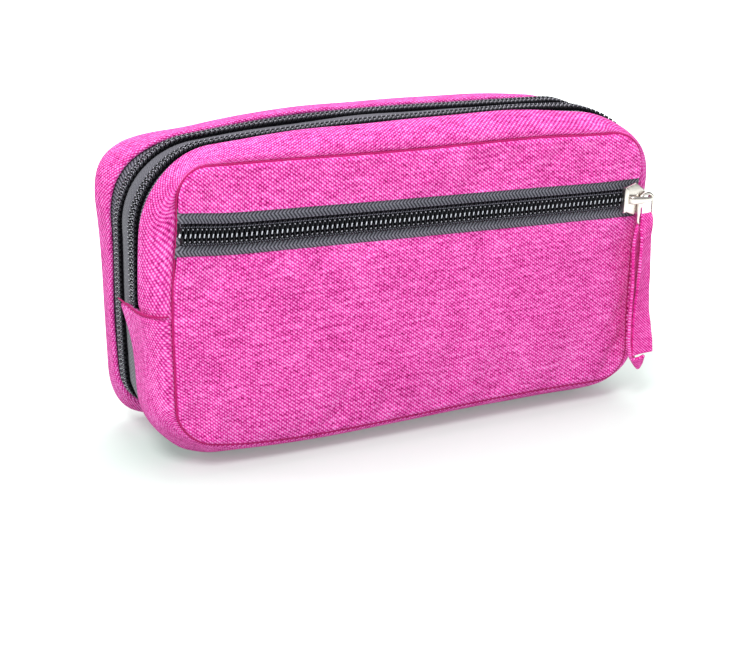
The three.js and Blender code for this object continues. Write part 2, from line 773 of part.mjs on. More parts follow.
// Elastic that is sewn down between two loops, each the width of a pen
function addPenElastics() {
  const base = dividerY + dividerThick + fit;
  const pens = [penLowZ, penHighZ];
  const side = (extra) => pens.flatMap((z) => {
    const half = penHalfWidth + extra;
    return Array.from({ length: domeSteps + 1 }, (_, i) => {
      const turn = -Math.PI / 2 + Math.PI * i / domeSteps;
      const foot = i % domeSteps ? 0 : extra;
      return [base + (penDepth + extra) * Math.cos(turn) + foot, z + half * Math.sin(turn)];
    });
  });
  const low = penLowZ - penHalfWidth - elasticFoot;
  const high = penHighZ + penHalfWidth + elasticFoot;
  const outline = [
    [base + elasticThick, low], ...side(elasticThick), [base + elasticThick, high],
    [base, high], ...side(0).reverse(), [base, low],
  ];
  const turned = new THREE.Matrix4().makeBasis(
    new THREE.Vector3(0, 1, 0), new THREE.Vector3(0, 0, 1), new THREE.Vector3(1, 0, 0),
  );
  for (const [name, way] of [['pen_elastic_left', -1], ['pen_elastic_right', 1]]) {
    const strip = new THREE.ExtrudeGeometry(shapeOf(outline), { depth: elasticWide, bevelEnabled: false });
    strip.applyMatrix4(turned);
    strip.translate(way * elasticX - elasticWide / 2, 0, 0);
    place(name, strip, grey);
  }
}

// Liner of the front pocket: a shallow tray behind the panel, above the fold
function addPocketLiner() {
  const front = frontSeamY - seamStep + panelThick + fit;
  const outline = (inset, low) => {
    const top = stations(rightAt(foldZ), leftAt(foldZ)).map((s) => rimPoint(s, 0, inset, front));
    const kept = top.filter((p) => p.z > low + fit).map((p) => [p.x, p.z]);
    const half = seamHalfWidth - inset;
    return shapeOf([[half, low], ...kept, [-half, low]]);
  };
  const low = foldZ + linerInset;
  const whole = plate(outline(linerInset, low), front, front + linerDepth);
  const hollow = plate(
    outline(linerInset + linerWall, low + linerWall), front - wall, front + linerDepth - linerWall,
  );
  place('pocket_liner', cutBy(whole, hollow), grey);
}

function addRearShellInside() {
  const rollEnd = stripEndY + 2 * fit;
  const backY = rearSeamY + seamStep - panelThick - fit;
  place('rear_insulation_board', plate(
    girthShape(wall, backY, 0), backY - foamThick, backY,
  ), foam);
  const list = stations(0, girth).slice(0, -1);
  const face = (depth) => [
    ...rollLevels(rearSeamY, rollEnd, depth).inner.slice(2), { inset: depth, y: rearEdgeY + fit },
  ];
  const inside = face(wall + fit + foamThick);
  place('rear_insulation_band', girthBand(list, face(wall + fit), inside, true), foam);
  const foilInset = inside[0].inset + foilClear;
  const foilBack = backY - foamThick - fit;
  const foilShape = (inset) => girthShape(inset, foilBack, inside[0].spread);
  const tray = plate(foilShape(foilInset), rearEdgeY + fit, foilBack);
  const hollow = plate(
    foilShape(foilInset + foilThick), rearEdgeY - wall, foilBack - foilThick,
  );
  place('foil_liner', cutBy(tray, hollow), foil);
  const gelBack = foilBack - foilThick - fit;
  const middle = (gelBottom + gelTop) / 2;
  const tall = (gelTop - gelBottom) / 2;
  const pillow = (u, v, power) => (1 - u ** power) * (1 - v ** power);
  const gelDepth = (u, v) => -gelEdge - (gelThick - gelEdge) * pillow(u, 2 * v - 1, 6);
  const flat = () => 0;
  const grid = (depthAt) => Array.from({ length: domeSteps + 1 }, (_, i) => {
    const u = 2 * i / domeSteps - 1;
    return Array.from({ length: panelRows + 1 }, (_, j) => {
      const v = j / panelRows;
      return new THREE.Vector3(u * gelHalfWidth, gelBack + depthAt(u, v), lerp(gelBottom, gelTop, v));
    });
  });
  place('gel_pack', thickSheet(grid(gelDepth), grid(flat)), gel);
  const low = gelBottom - sleeveMargin;
  const rise = (v) => (lerp(low, sleeveTop, v) - middle) / (tall + sleeveMargin);
  const sleeveDepth = (u, v) => (gelThick + fit) * pillow(u, rise(v), 12);
  place('gel_sleeve', domedSheet(
    gelHalfWidth + sleeveMargin, low, sleeveTop, gelBack, -1, sleeveDepth, sleeveThick,
  ), grey);
}

addGussets();
addGirthTapes();
addChains();
addPanels();
addPocketZip();
addPocketSlider();
addSideSlider('front', frontZipY, frontSliderZ);
addSideSlider('rear', rearZipY, rearSliderZ);
addDivider();
addPenElastics();
addPocketLiner();
addRearShellInside();

export default part;
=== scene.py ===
import math

import bmesh
import bpy
import numpy as np
from mathutils import Matrix, Vector


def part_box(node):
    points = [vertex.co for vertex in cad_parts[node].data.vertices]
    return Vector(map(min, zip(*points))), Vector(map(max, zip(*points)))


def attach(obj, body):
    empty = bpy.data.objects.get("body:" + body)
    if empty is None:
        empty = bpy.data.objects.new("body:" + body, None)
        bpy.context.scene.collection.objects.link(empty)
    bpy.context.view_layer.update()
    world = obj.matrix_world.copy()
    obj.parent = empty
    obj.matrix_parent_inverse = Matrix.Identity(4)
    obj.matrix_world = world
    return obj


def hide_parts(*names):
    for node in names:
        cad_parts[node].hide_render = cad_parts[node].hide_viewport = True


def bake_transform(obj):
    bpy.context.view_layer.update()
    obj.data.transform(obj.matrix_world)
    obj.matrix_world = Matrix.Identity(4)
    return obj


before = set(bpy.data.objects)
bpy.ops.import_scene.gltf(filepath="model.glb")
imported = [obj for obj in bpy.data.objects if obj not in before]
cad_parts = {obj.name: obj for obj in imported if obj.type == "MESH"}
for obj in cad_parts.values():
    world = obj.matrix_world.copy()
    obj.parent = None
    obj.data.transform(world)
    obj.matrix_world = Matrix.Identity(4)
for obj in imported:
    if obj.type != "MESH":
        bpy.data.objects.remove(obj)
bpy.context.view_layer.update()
MM = 0.001

# Camera of the photograph, found by fitting the outline of the case
CAMERA_AT = (-0.219676, -0.462109, 0.217193)
CAMERA_YAW = 0.44
CAMERA_PITCH = 0.352
CAMERA_ROLL = 0.012
CAMERA_LENS = 69.28
CAMERA_NEAR = 10 * MM

# Sizes read from the frame
FIT = 0.3 * MM
SIDE_BOW = 0.8 * MM
FRONT_ARCH = 7 * MM
REAR_ARCH = 6 * MM
CORNER = 26.5 * MM
SEAM_RADIUS = 12.6 * MM
HALF_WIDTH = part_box("rear_gusset")[1].x - SIDE_BOW
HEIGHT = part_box("rear_gusset")[1].z - REAR_ARCH
SEAM_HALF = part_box("rear_panel")[1].x + FIT
SEAM_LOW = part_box("rear_panel")[0].z - FIT
SEAM_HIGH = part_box("rear_panel")[1].z + FIT
SEAM_MIDDLE = (SEAM_LOW + SEAM_HIGH) / 2
SEAM_TALL = (SEAM_HIGH - SEAM_LOW) / 2
FRONT_SEAM_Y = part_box("front_gusset")[0].y
REAR_SEAM_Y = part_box("rear_gusset")[1].y
FRONT_EDGE_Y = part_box("front_gusset")[1].y
BASE_EDGE_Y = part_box("base_gusset")[1].y
REAR_EDGE_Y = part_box("rear_gusset")[0].y
STRIP_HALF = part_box("base_strip")[1].x
STRIP_END_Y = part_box("base_strip")[1].y
FOLD_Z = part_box("front_panel_lower")[1].z
CHAIN_HALF = 2.8 * MM
FRONT_ZIP_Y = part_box("front_zip_core_teeth")[1].y - CHAIN_HALF
REAR_ZIP_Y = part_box("rear_zip_shell_teeth")[1].y - CHAIN_HALF

# Cloth
WALL = 1.8 * MM
GROOVE = 1.0 * MM
PANEL_STEP = 0.6 * MM
FRONT_CROWN = 2.2 * MM
REAR_CROWN = 1.6 * MM
TUCK = 1.6 * MM
CLOTH_THICK = 1.1 * MM
WEAVE_PITCH = (0.85 * MM, 0.63 * MM)

# How the soft case has settled: centre, reach and shift of each push, in millimetres
PUSHES = (
    ((-90, -30, 92), (14, 14, 22), (3.1, 0, 1.2)),
    ((-90, -30, 35), (14, 14, 25), (0.5, 0, 0.6)),
    ((-62, -30, 107), (35, 14, 13), (0.8, 0, 0.8)),
    ((80, -30, 106), (25, 14, 13), (0.1, 0, -1.4)),
    ((-40, -29, 9), (50, 11, 11), (0.7, 0, -2.6)),
    ((-98, 28, 82), (20, 14, 26), (-1.9, 0, 1.0)),
    ((-98, 28, 25), (20, 14, 20), (-0.8, 0, -1.8)),
    ((-78, 24, 109), (26, 18, 20), (-1.0, 0, -0.5)),
    ((-35, 29, 113), (18, 12, 12), (-0.2, 0, -0.6)),
    ((45, 29, 113), (20, 12, 12), (0.5, 0, 0.5)),
    ((96, -22, 98), (16, 13, 20), (1.5, 0, 1.2)),
    ((-94, 26, 103), (15, 14, 13), (-3.0, 0, 0.6)),
    ((-70, 26, 112), (18, 14, 12), (0.1, 0, -1.6)),
    ((92, -22, 106), (15, 13, 13), (0.9, 0, 0.6)),
    ((-92, -30, 10), (20, 12, 16), (0.4, 0, 2.5)),
    ((-96, 26, 8), (16, 14, 14), (-1.2, 0, -5.9)),
    ((20, -30, 9), (50, 11, 11), (0, 0, -0.7)),
    ((85, -30, 10), (25, 12, 14), (2.1, 0, -0.9)),
    ((-90, 6, 4), (14, 18, 14), (5.9, 0, 6.0)),
    ((55, -14, 114), (30, 16, 14), (-0.6, 0, 1.7)),
    ((72, -15, 112), (26, 10, 16), (-1.1, 0.9, 0.1)),
    ((-72, -17, 108), (26, 9, 16), (-0.6, 0.3, 0.5)),
    ((-98, -17, 84), (14, 9, 22), (0.4, 0.4, 2.2)),
    ((-98, 12, 84), (14, 9, 22), (0.7, -0.5, -1.1)),
    ((-76, 12, 108), (26, 9, 16), (1.4, -0.4, -0.2)),
    ((70, 14, 112), (26, 10, 14), (-0.4, 0.7, 0.9)),
)

# Girth of the case, walked from the middle of the bottom, to the right, over the top and back
STRAIGHT = HALF_WIDTH - CORNER
ARC = CORNER * math.pi / 2
SIDE = HEIGHT - 2 * CORNER
PARTS = np.array([STRAIGHT, ARC, SIDE, ARC, 2 * STRAIGHT, ARC, SIDE, ARC, STRAIGHT])
PART_ENDS = np.cumsum(PARTS)
GIRTH = PART_ENDS[-1]
FOLD_SHARE = (FOLD_Z - CORNER) / SIDE


def linked(name, data):
    """A new object in the scene."""
    made = bpy.data.objects.new(name, data)
    bpy.context.scene.collection.objects.link(made)
    return made


def add_camera():
    forward = Vector((
        math.sin(CAMERA_YAW) * math.cos(CAMERA_PITCH),
        math.cos(CAMERA_YAW) * math.cos(CAMERA_PITCH),
        -math.sin(CAMERA_PITCH),
    ))
    right = forward.cross(Vector((0, 0, 1))).normalized()
    up = right.cross(forward)
    turn_cos, turn_sin = math.cos(CAMERA_ROLL), math.sin(CAMERA_ROLL)
    right, up = right * turn_cos + up * turn_sin, up * turn_cos - right * turn_sin
    data = bpy.data.cameras.new("camera")
    data.lens = CAMERA_LENS
    data.clip_start = CAMERA_NEAR
    camera = linked("camera", data)
    camera.matrix_world = Matrix((right, up, -forward)).transposed().to_4x4()
    camera.location = CAMERA_AT
    bpy.context.scene.camera = camera


def lerp(a, b, share):
    return a + (b - a) * share


def smooth(share):
    share = np.clip(share, 0, 1)
    return share * share * (3 - 2 * share)


def unit(vectors):
    return vectors / np.linalg.norm(vectors, axis=-1, keepdims=True)


def heading(path):
    """The direction of a path at each of its points."""
    return unit(np.gradient(path, axis=0))


def walked_along(path):
    """How far along a path each of its points lies."""
    return np.concatenate([[0], np.cumsum(np.linalg.norm(np.diff(path, axis=0), axis=1))])


def round_turns(count):
    """Even angles round a full circle."""
    return np.arange(count) * 2 * math.pi / count


def slumped(points):
    """Moves points of the case's skin as the pushes say, and never below the floor."""
    moved = np.array(points, float)
    for centre, reach, shift in PUSHES:
        off = (points - np.array(centre) * MM) / (np.array(reach) * MM)
        moved += np.exp(-(off ** 2).sum(-1))[..., None] * np.array(shift) * MM
    moved[..., 2] = np.maximum(moved[..., 2], 0)
    return moved


def right_at(z):
    return STRAIGHT + ARC + z - CORNER


def left_at(z):
    return GIRTH - right_at(z)


def from_bottom(s):
    """Distance along the girth from the middle of the bottom, whichever way is shorter."""
    return np.minimum(np.mod(s, GIRTH), GIRTH - np.mod(s, GIRTH))


def side_height(bottom, top, share):
    """Height on a straight side: the fold stays level from the seam out to the full girth."""
    below = lerp(bottom, FOLD_Z, share / FOLD_SHARE)
    above = lerp(FOLD_Z, top, (share - FOLD_SHARE) / (1 - FOLD_SHARE))
    return np.where(share < FOLD_SHARE, below, above)


def girth_point(s, spread, inset, y):
    """Points of the case's outline: spread 0 is the panel seam and 1 the full girth."""
    s, spread, inset, y = (np.asarray(a, float) for a in np.broadcast_arrays(s, spread, inset, y))
    half = lerp(SEAM_HALF, HALF_WIDTH, spread) - inset
    low = lerp(SEAM_LOW, 0, spread) + inset
    high = lerp(SEAM_HIGH, HEIGHT, spread) - inset
    radius = lerp(SEAM_RADIUS, CORNER, spread) - inset
    inner = half - radius
    walked = np.mod(s, GIRTH)
    k = np.minimum(np.searchsorted(PART_ENDS, walked), len(PARTS) - 1)
    share = (walked - PART_ENDS[k] + PARTS[k]) / PARTS[k]
    turn = share * math.pi / 2
    cos, sin = radius * np.cos(turn), radius * np.sin(turn)
    bottom, top = low + radius, high - radius
    x = np.choose(k, [
        inner * share, inner + sin, half, inner + cos, lerp(inner, -inner, share),
        -inner - sin, -half, -inner - cos, lerp(-inner, 0, share),
    ])
    z = np.choose(k, [
        low, bottom - cos, side_height(bottom, top, share), top + sin, high,
        top + cos, side_height(bottom, top, 1 - share), bottom - sin, low,
    ])
    across = x / half
    up = (z - (low + high) / 2) / ((high - low) / 2)
    depth = np.clip((y - FRONT_EDGE_Y) / (REAR_EDGE_Y - FRONT_EDGE_Y), 0, 1)
    arch = lerp(FRONT_ARCH, REAR_ARCH, depth) * spread * (1 - across ** 2) * np.maximum(up, 0)
    x = x + SIDE_BOW * spread * (1 - up ** 2) * across
    return slumped(np.stack([x, y, z + arch], -1))


def wander(s, waves, size, seed):
    """A smooth random wave along the girth, the same on every run."""
    draw = np.random.default_rng(seed)
    total = np.zeros_like(np.asarray(s, float))
    for wave in waves:
        total = total + np.sin(2 * math.pi * wave * np.asarray(s) / GIRTH + draw.uniform(0, 6.28))
    return size * total / len(waves)


# Meshes
def grid_quads(rows, columns, wrap_rows=False, wrap_columns=False):
    i = np.arange(rows if wrap_rows else rows - 1)[:, None]
    j = np.arange(columns if wrap_columns else columns - 1)[None, :]
    here, after = i * columns, (i + 1) % rows * columns
    beside = (j + 1) % columns
    quads = np.stack(np.broadcast_arrays(here + j, after + j, after + beside, here + beside), -1)
    return quads.reshape(-1, 4)


def make_piece(name, points, faces, flat=None, wrap=None):
    """A smooth mesh from points and faces, with a map in metres for its weave."""
    mesh = bpy.data.meshes.new(name)
    mesh.from_pydata(np.asarray(points).reshape(-1, 3).tolist(), [], [list(map(int, f)) for f in faces])
    if flat is not None:
        layer = mesh.uv_layers.new(name="weave")
        corner = np.zeros(len(mesh.loops), int)
        mesh.loops.foreach_get("vertex_index", corner)
        flat = np.asarray(flat, float).reshape(-1, 2)[corner]
        if wrap:
            starts = np.array([p.loop_start for p in mesh.polygons])
            most = np.maximum.reduceat(flat[:, 0], starts)
            counts = np.diff(np.append(starts, len(flat)))
            behind = np.repeat(most, counts) - flat[:, 0] > wrap / 2
            flat[behind, 0] += wrap
        layer.data.foreach_set("uv", flat.ravel())
    mesh.polygons.foreach_set("use_smooth", [True] * len(mesh.polygons))
    mesh.update()
    return linked(name, mesh)


def face_out(piece, towards=None):
    """Turns the faces outwards, or towards a direction on an open sheet."""
    work = bmesh.new()
    work.from_mesh(piece.data)
    bmesh.ops.recalc_face_normals(work, faces=work.faces)
    if towards is not None:
        total = sum((f.normal * f.calc_area() for f in work.faces), Vector())
        if total.dot(Vector(towards)) < 0:
            bmesh.ops.reverse_faces(work, faces=work.faces)
    work.to_mesh(piece.data)
    work.free()
    return piece


def grid_piece(name, grid, flat=None, wrap_rows=False, wrap_columns=False, capped=False, wrap=None):
    rows, columns = grid.shape[:2]
    faces = grid_quads(rows, columns, wrap_rows, wrap_columns).tolist()
    if capped:
        faces.append(list(range(columns)))
        faces.append(list(range((rows - 1) * columns, rows * columns)))
    return face_out(make_piece(name, grid, faces, flat, wrap))


def sheet_piece(name, grid, flat, towards):
    """An open sheet of cloth that faces one way."""
    return face_out(make_piece(name, grid, grid_quads(*grid.shape[:2]), flat), towards)


def tube_grid(path, radius, sides, reference):
    """Rings of points round a path, each in the plane across it."""
    along = heading(path)
    side = unit(reference - along * (along @ reference)[:, None])
    other = np.cross(along, side)
    turn = round_turns(sides)
    ring = np.cos(turn)[None, :, None] * side[:, None] + np.sin(turn)[None, :, None] * other[:, None]
    return path[:, None] + radius * ring


def tube_piece(name, grid, flat=None):
    """A tube or a thick strip with closed ends, from its rings of points."""
    return grid_piece(name, grid, flat, wrap_columns=True, capped=True)


def repeated_tubes(name, tubes):
    """One piece of many like tubes, given as an array of tube, ring, side and place."""
    count, rows, columns = tubes.shape[:3]
    size = rows * columns
    starts = np.arange(count)[:, None, None] * size
    quads = (grid_quads(rows, columns, wrap_columns=True)[None] + starts).reshape(-1, 4).tolist()
    ends = np.array([np.arange(columns), np.arange(columns) + size - columns])
    caps = (ends[None] + starts).reshape(-1, columns).tolist()
    return face_out(make_piece(name, tubes, quads + caps))


def add_modifier(piece, kind, **settings):
    modifier = piece.modifiers.new(kind.title(), kind)
    for key, value in settings.items():
        setattr(modifier, key, value)
    return modifier


def soften(piece):
    add_modifier(piece, "SUBSURF", levels=1, render_levels=1)


def thicken(piece, thick, inside=0):
    add_modifier(
        piece, "SOLIDIFY", thickness=thick, offset=-1, use_even_offset=False,
        material_offset=inside, material_offset_rim=0,
    )
    soften(piece)


def dress(piece, *finishes):
    for finish in finishes:
        piece.data.materials.append(finish)
    return piece


def fitted(piece, slot, *nodes, rides=None, folds=None):
    """Hides the solids a piece stands for and hangs it on the body that it rides with; for a fold it only
    bakes the piece's placing. The slot is not used.
    """
    if nodes:
        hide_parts(*nodes)
    if rides:
        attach(piece, rides)
    if folds:
        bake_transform(piece)
    return piece


# Cloth that is pinned along its seams and let go under a little pressure
SETTLE_FRAMES = 18
SETTLE_MOST = 1.2 * MM
PANEL_BEND = 0.4


def settled(grid, pinned, pressure, growth, bending):
    """How far each point of a pinned sheet moves when the cloth settles."""
    rows, columns = grid.shape[:2]
    sheet = grid_piece("settling_cloth", grid)
    group = sheet.vertex_groups.new(name="pinned")
    group.add([int(i) for i in np.flatnonzero(pinned.ravel())], 1.0, "REPLACE")
    modifier = add_modifier(sheet, "CLOTH")
    cloth = modifier.settings
    cloth.quality = 6
    cloth.mass = 0.3
    cloth.tension_stiffness = cloth.compression_stiffness = 12
    cloth.shear_stiffness = 8
    cloth.bending_stiffness = bending
    cloth.vertex_group_mass = group.name
    cloth.use_pressure = True
    cloth.uniform_pressure_force = pressure
    cloth.shrink_min = -growth
    cloth.effector_weights.gravity = 0
    modifier.collision_settings.use_collision = False
    modifier.point_cache.frame_end = SETTLE_FRAMES
    scene = bpy.context.scene
    for step in range(1, SETTLE_FRAMES + 1):
        scene.frame_set(step)
    soft = sheet.evaluated_get(bpy.context.evaluated_depsgraph_get())
    moved = np.zeros(rows * columns * 3)
    soft.data.vertices.foreach_get("co", moved)
    scene.frame_set(1)
    bpy.data.objects.remove(sheet)
    change = moved.reshape(grid.shape) - grid
    far = np.linalg.norm(change, axis=-1, keepdims=True)
    return change * np.minimum(1, SETTLE_MOST / np.maximum(far, 1e-9))


def spread_over(change, u, v):
    """The settled movement at finer places: u and v run from 0 to 1 over the sheet."""
    rows, columns = change.shape[:2]
    i, j = np.clip(u, 0, 1) * (rows - 1), np.clip(v, 0, 1) * (columns - 1)
    i0, j0 = np.minimum(i.astype(int), rows - 2), np.minimum(j.astype(int), columns - 2)
    a, b = smooth(i - i0)[..., None], smooth(j - j0)[..., None]
    low = lerp(change[i0, j0], change[i0 + 1, j0], a)
    high = lerp(change[i0, j0 + 1], change[i0 + 1, j0 + 1], a)
    return lerp(low, high, b)


# Materials
class Socket:
    """A value that varies over a surface. Sums on it add Math nodes."""

    def __init__(self, shade, link):
        self.shade = shade
        self.link = link

    def __add__(self, other):
        return self.shade.maths("ADD", self, other)

    def __sub__(self, other):
        return self.shade.maths("SUBTRACT", self, other)

    def __rsub__(self, other):
        return self.shade.maths("SUBTRACT", other, self)

    def __mul__(self, other):
        return self.shade.maths("MULTIPLY", self, other)

    def __truediv__(self, other):
        return self.shade.maths("DIVIDE", self, other)

    def __abs__(self):
        return self.shade.maths("ABSOLUTE", self)

    __radd__ = __add__
    __rmul__ = __mul__


class Shade:
    """The nodes of one material, or of the world."""

    def __init__(self, name, kept_in=None):
        self.holder = (bpy.data.materials if kept_in is None else kept_in).new(name)
        self.holder.use_nodes = True
        self.tree = self.holder.node_tree
        self.tree.nodes.clear()

    def node(self, kind, settings=None, inputs=None, out=0):
        made = self.tree.nodes.new("ShaderNode" + kind)
        for key, value in (settings or {}).items():
            setattr(made, key, value)
        for key, value in (inputs or {}).items():
            if isinstance(value, Socket):
                self.tree.links.new(value.link, made.inputs[key])
            else:
                made.inputs[key].default_value = value
        return Socket(self, made.outputs[out]) if len(made.outputs) else None

    def maths(self, operation, *values, clamp=False):
        settings = {"operation": operation, "use_clamp": clamp}
        return self.node("Math", settings, dict(enumerate(values)))

    def clamped(self, value):
        return self.maths("ADD", value, 0, clamp=True)

    def wave(self, value):
        return self.maths("SINE", value * math.pi)

    def flat_map(self):
        """Metres along and across the cloth."""
        at = self.node("UVMap", {"uv_map": "weave"})
        return [self.node("SeparateXYZ", inputs={0: at}, out=axis) for axis in (0, 1)]

    def place(self):
        return self.node("TexCoord", out="Object")

    def ray(self, kind):
        return self.node("LightPath", out=f"Is {kind} Ray")

    def vector(self, x, y, z=0):
        return self.node("CombineXYZ", inputs={0: x, 1: y, 2: z})

    def noise(self, at, scale, detail=2.0, rough=0.5):
        inputs = {"Vector": at, "Scale": scale, "Detail": detail, "Roughness": rough}
        return self.node("TexNoise", inputs=inputs)

    def mix(self, share, a, b):
        settings = {"data_type": "RGBA", "blend_type": "MIX"}
        return self.node("Mix", settings, {0: share, 6: a, 7: b}, out=2)

    def bump(self, height, strength, distance):
        return self.node("Bump", inputs={"Strength": strength, "Distance": distance, "Height": height})

    def surface(self, **sockets):
        named = {key.replace("_", " "): value for key, value in sockets.items()}
        self.node("OutputMaterial", inputs={0: self.node("BsdfPrincipled", inputs=named)})
        return self.holder


def srgb(red, green, blue):
    """A colour as it looks on screen, from 0 to 255, as the shader needs it."""
    shares = [c / 255 for c in (red, green, blue)]
    return tuple(c / 12.92 if c <= 0.04045 else ((c + 0.055) / 1.055) ** 2.4 for c in shares) + (1.0,)


def slanted_weave(shade, u, v, pitch):
    """Tone of a plain weave whose floats lean one way: 0 in its pinholes and 1 on its threads."""
    across, up = u / pitch[0], v / pitch[1]
    leaning = shade.wave(across + up + 0.5)
    other = shade.wave(across - up + 0.5)
    columns = shade.wave(across * 2 + 0.5)
    return leaning * 0.56 + other * 0.26 + columns * 0.26


def cloth_finish(name, light, middle, hole, pitch=WEAVE_PITCH, strength=1.0, heather=1.0):
    """Plain weave of uneven heathered threads. Its colour is lighter on the thread tops, a painted
    highlight, and darker in its pinholes, painted shade.
    """
    shade = Shade(name)
    u, v = shade.flat_map()
    stray = 0.3 * MM
    u = u + (shade.noise(shade.vector(u, v), 150, 1) - 0.5) * stray
    v = v + (shade.noise(shade.vector(u, v, 0.7), 110, 1) - 0.5) * stray
    weave = slanted_weave(shade, u, v, pitch)
    slub = shade.noise(shade.vector(u * 110, v * 900), 1, 3, 0.65) - 0.5
    fleck = shade.noise(shade.vector(u * 900, v * 620, 3.1), 1, 2, 0.6) - 0.5
    cloud = shade.noise(shade.vector(u, v, 1.3), 60, 2) - 0.5
    uneven = (slub * 0.9 + fleck * 1.1 + cloud * 0.35) * heather
    # Painted light: the tone follows the weave's relief, lit on the threads and shaded in the pinholes,
    # with the threads' own uneven tone added
    tone = shade.clamped(weave * (0.5 * strength) + uneven + 0.5)
    deep = shade.mix(shade.clamped(tone * 2), hole, middle)
    height = shade.clamped(weave * 0.5 + 0.5)
    return shade.surface(
        Base_Color=shade.mix(shade.clamped(tone * 2 - 1), deep, light),
        Roughness=0.92 - height * 0.14,
        Normal=shade.bump(height + fleck * 0.4, 0.7, 0.2 * MM),
        Sheen_Weight=0.03,
        Sheen_Roughness=0.4,
        Sheen_Tint=(1.0, 0.75, 0.93, 1.0),
        Specular_IOR_Level=0.18,
    )


def tape_finish(name, light, dark, width, pitch=1.35 * MM, lean=0.85):
    """Herringbone twill: slanted ribs that turn at every width. Its colour is lighter on the ribs and
    darker between them, painted light and shade.
    """
    shade = Shade(name)
    u, v = shade.flat_map()
    zigzag = shade.maths("PINGPONG", v, width)
    ribs = shade.wave((u + zigzag * lean) / pitch * 2)
    cross = shade.wave(v / (0.42 * MM))
    speckle = shade.noise(shade.vector(u, v), 1500, 2)
    height = shade.clamped(ribs * 0.5 + cross * 0.06 + 0.42 + (speckle - 0.5) * 0.4)
    wear = shade.noise(shade.vector(u, v, 2.0), 60, 3)
    # Painted shade between the ribs and lighter rib tops: the colour follows the ribs' height, with random
    # tone
    return shade.surface(
        Base_Color=shade.mix(shade.clamped(height + (wear - 0.5) * 0.3), dark, light),
        Roughness=0.82 - height * 0.15,
        Normal=shade.bump(height, 0.6, 0.14 * MM),
        Sheen_Weight=0.15,
        Specular_IOR_Level=0.35,
    )


def solid_finish(name, low, high, roughness, scale, bump=0.1, depth=0.05 * MM, metallic=0.0, **more):
    """A moulded, cast or spun surface with fine wear and unevenness."""
    shade = Shade(name)
    at = shade.place()
    fine = shade.noise(at, scale, 4, 0.6)
    broad = shade.noise(at, scale / 9, 2)
    mark = shade.clamped((fine - 0.5) * 0.9 + (broad - 0.5) * 0.8 + 0.5)
    return shade.surface(
        Base_Color=shade.mix(mark, low, high),
        Roughness=roughness + (mark - 0.5) * 0.16,
        Normal=shade.bump(fine, bump, depth),
        Metallic=metallic,
        **more,
    )


def net_finish():
    """Knitted net: six-sided holes between dark threads."""
    shade = Shade("net_mesh")
    u, v = shade.flat_map()
    cell = 2.3 * MM
    a = shade.wave(u / cell + v / (cell * 1.7))
    b = shade.wave(u / cell - v / (cell * 1.7))
    thread = shade.clamped((0.42 - shade.maths("MINIMUM", abs(a), abs(b))) * 6)
    twist = shade.noise(shade.vector(u, v), 2600, 2)
    return shade.surface(
        Base_Color=shade.mix(twist, srgb(38, 37, 43), srgb(86, 84, 94)),
        Roughness=0.75 + (twist - 0.5) * 0.2,
        Alpha=shade.maths("GREATER_THAN", thread, 0.5),
        Normal=shade.bump(thread + twist * 0.4, 0.5, 0.15 * MM),
    )


def foil_finish():
    shade = Shade("foil_film")
    at = shade.place()
    crinkle = shade.node("TexVoronoi", {"feature": "DISTANCE_TO_EDGE"}, {"Vector": at, "Scale": 150})
    broad = shade.noise(at, 90, 4, 0.65)
    height = shade.clamped(crinkle * 2.2) * 0.5 + broad * 0.8
    return shade.surface(
        Base_Color=shade.mix(broad, srgb(186, 190, 196), srgb(232, 234, 238)),
        Metallic=0.85,
        Roughness=0.26 + broad * 0.14,
        Normal=shade.bump(height, 0.8, 0.9 * MM),
    )


def gel_finish():
    shade = Shade("gel_film")
    at = shade.place()
    cloud = shade.noise(at, 60, 4, 0.6)
    wrinkle = shade.noise(at, 240, 2)
    return shade.surface(
        Base_Color=shade.mix(cloud, srgb(92, 158, 200), srgb(158, 206, 230)),
        Roughness=0.16 + wrinkle * 0.14,
        Normal=shade.bump(cloud + wrinkle * 0.3, 0.35, 0.6 * MM),
        Coat_Weight=0.6,
        Coat_Roughness=0.08,
    )


THREAD_RELIEF = {"bump": 0.4, "depth": 0.08 * MM}
PINK = cloth_finish(
    "case_cloth", srgb(254, 166, 236), srgb(240, 66, 174), srgb(136, 0, 84), strength=0.9,
)
STRAP_PINK = cloth_finish(
    "pull_cloth", srgb(255, 158, 234), srgb(242, 52, 166), srgb(142, 0, 84),
    pitch=(0.62 * MM, 0.56 * MM), strength=0.8, heather=0.7,
)
# Painted shade: the seams are a darker pink than the panels, for the shade at the bottom of their grooves
SEAM_SHADE_PINK = solid_finish(
    "seam_cloth_painted_shade", srgb(154, 0, 80), srgb(202, 8, 118), roughness=0.9, scale=2400, bump=0.6,
    depth=0.1 * MM,
)
TAPE = tape_finish("zip_tape_twill", srgb(138, 136, 149), srgb(44, 42, 52), width=1.85 * MM)
BAND = tape_finish("band_twill", srgb(106, 104, 115), srgb(68, 66, 77), width=3.2 * MM)
BRIGHT_THREAD = solid_finish(
    "coil_stitches", srgb(150, 148, 160), srgb(214, 212, 222), roughness=0.42, scale=1800,
    **THREAD_RELIEF,
)
DIM_THREAD = solid_finish(
    "edge_stitches", srgb(78, 76, 88), srgb(126, 124, 138), roughness=0.5, scale=1800,
    **THREAD_RELIEF,
)
PINK_THREAD = solid_finish(
    "sewing_thread", srgb(214, 70, 160), srgb(255, 150, 226), roughness=0.6, scale=2200,
    **THREAD_RELIEF,
)
NYLON = solid_finish(
    "coil_nylon", srgb(8, 8, 13), srgb(24, 23, 31), roughness=0.42, scale=900,
    Specular_IOR_Level=0.25,
)
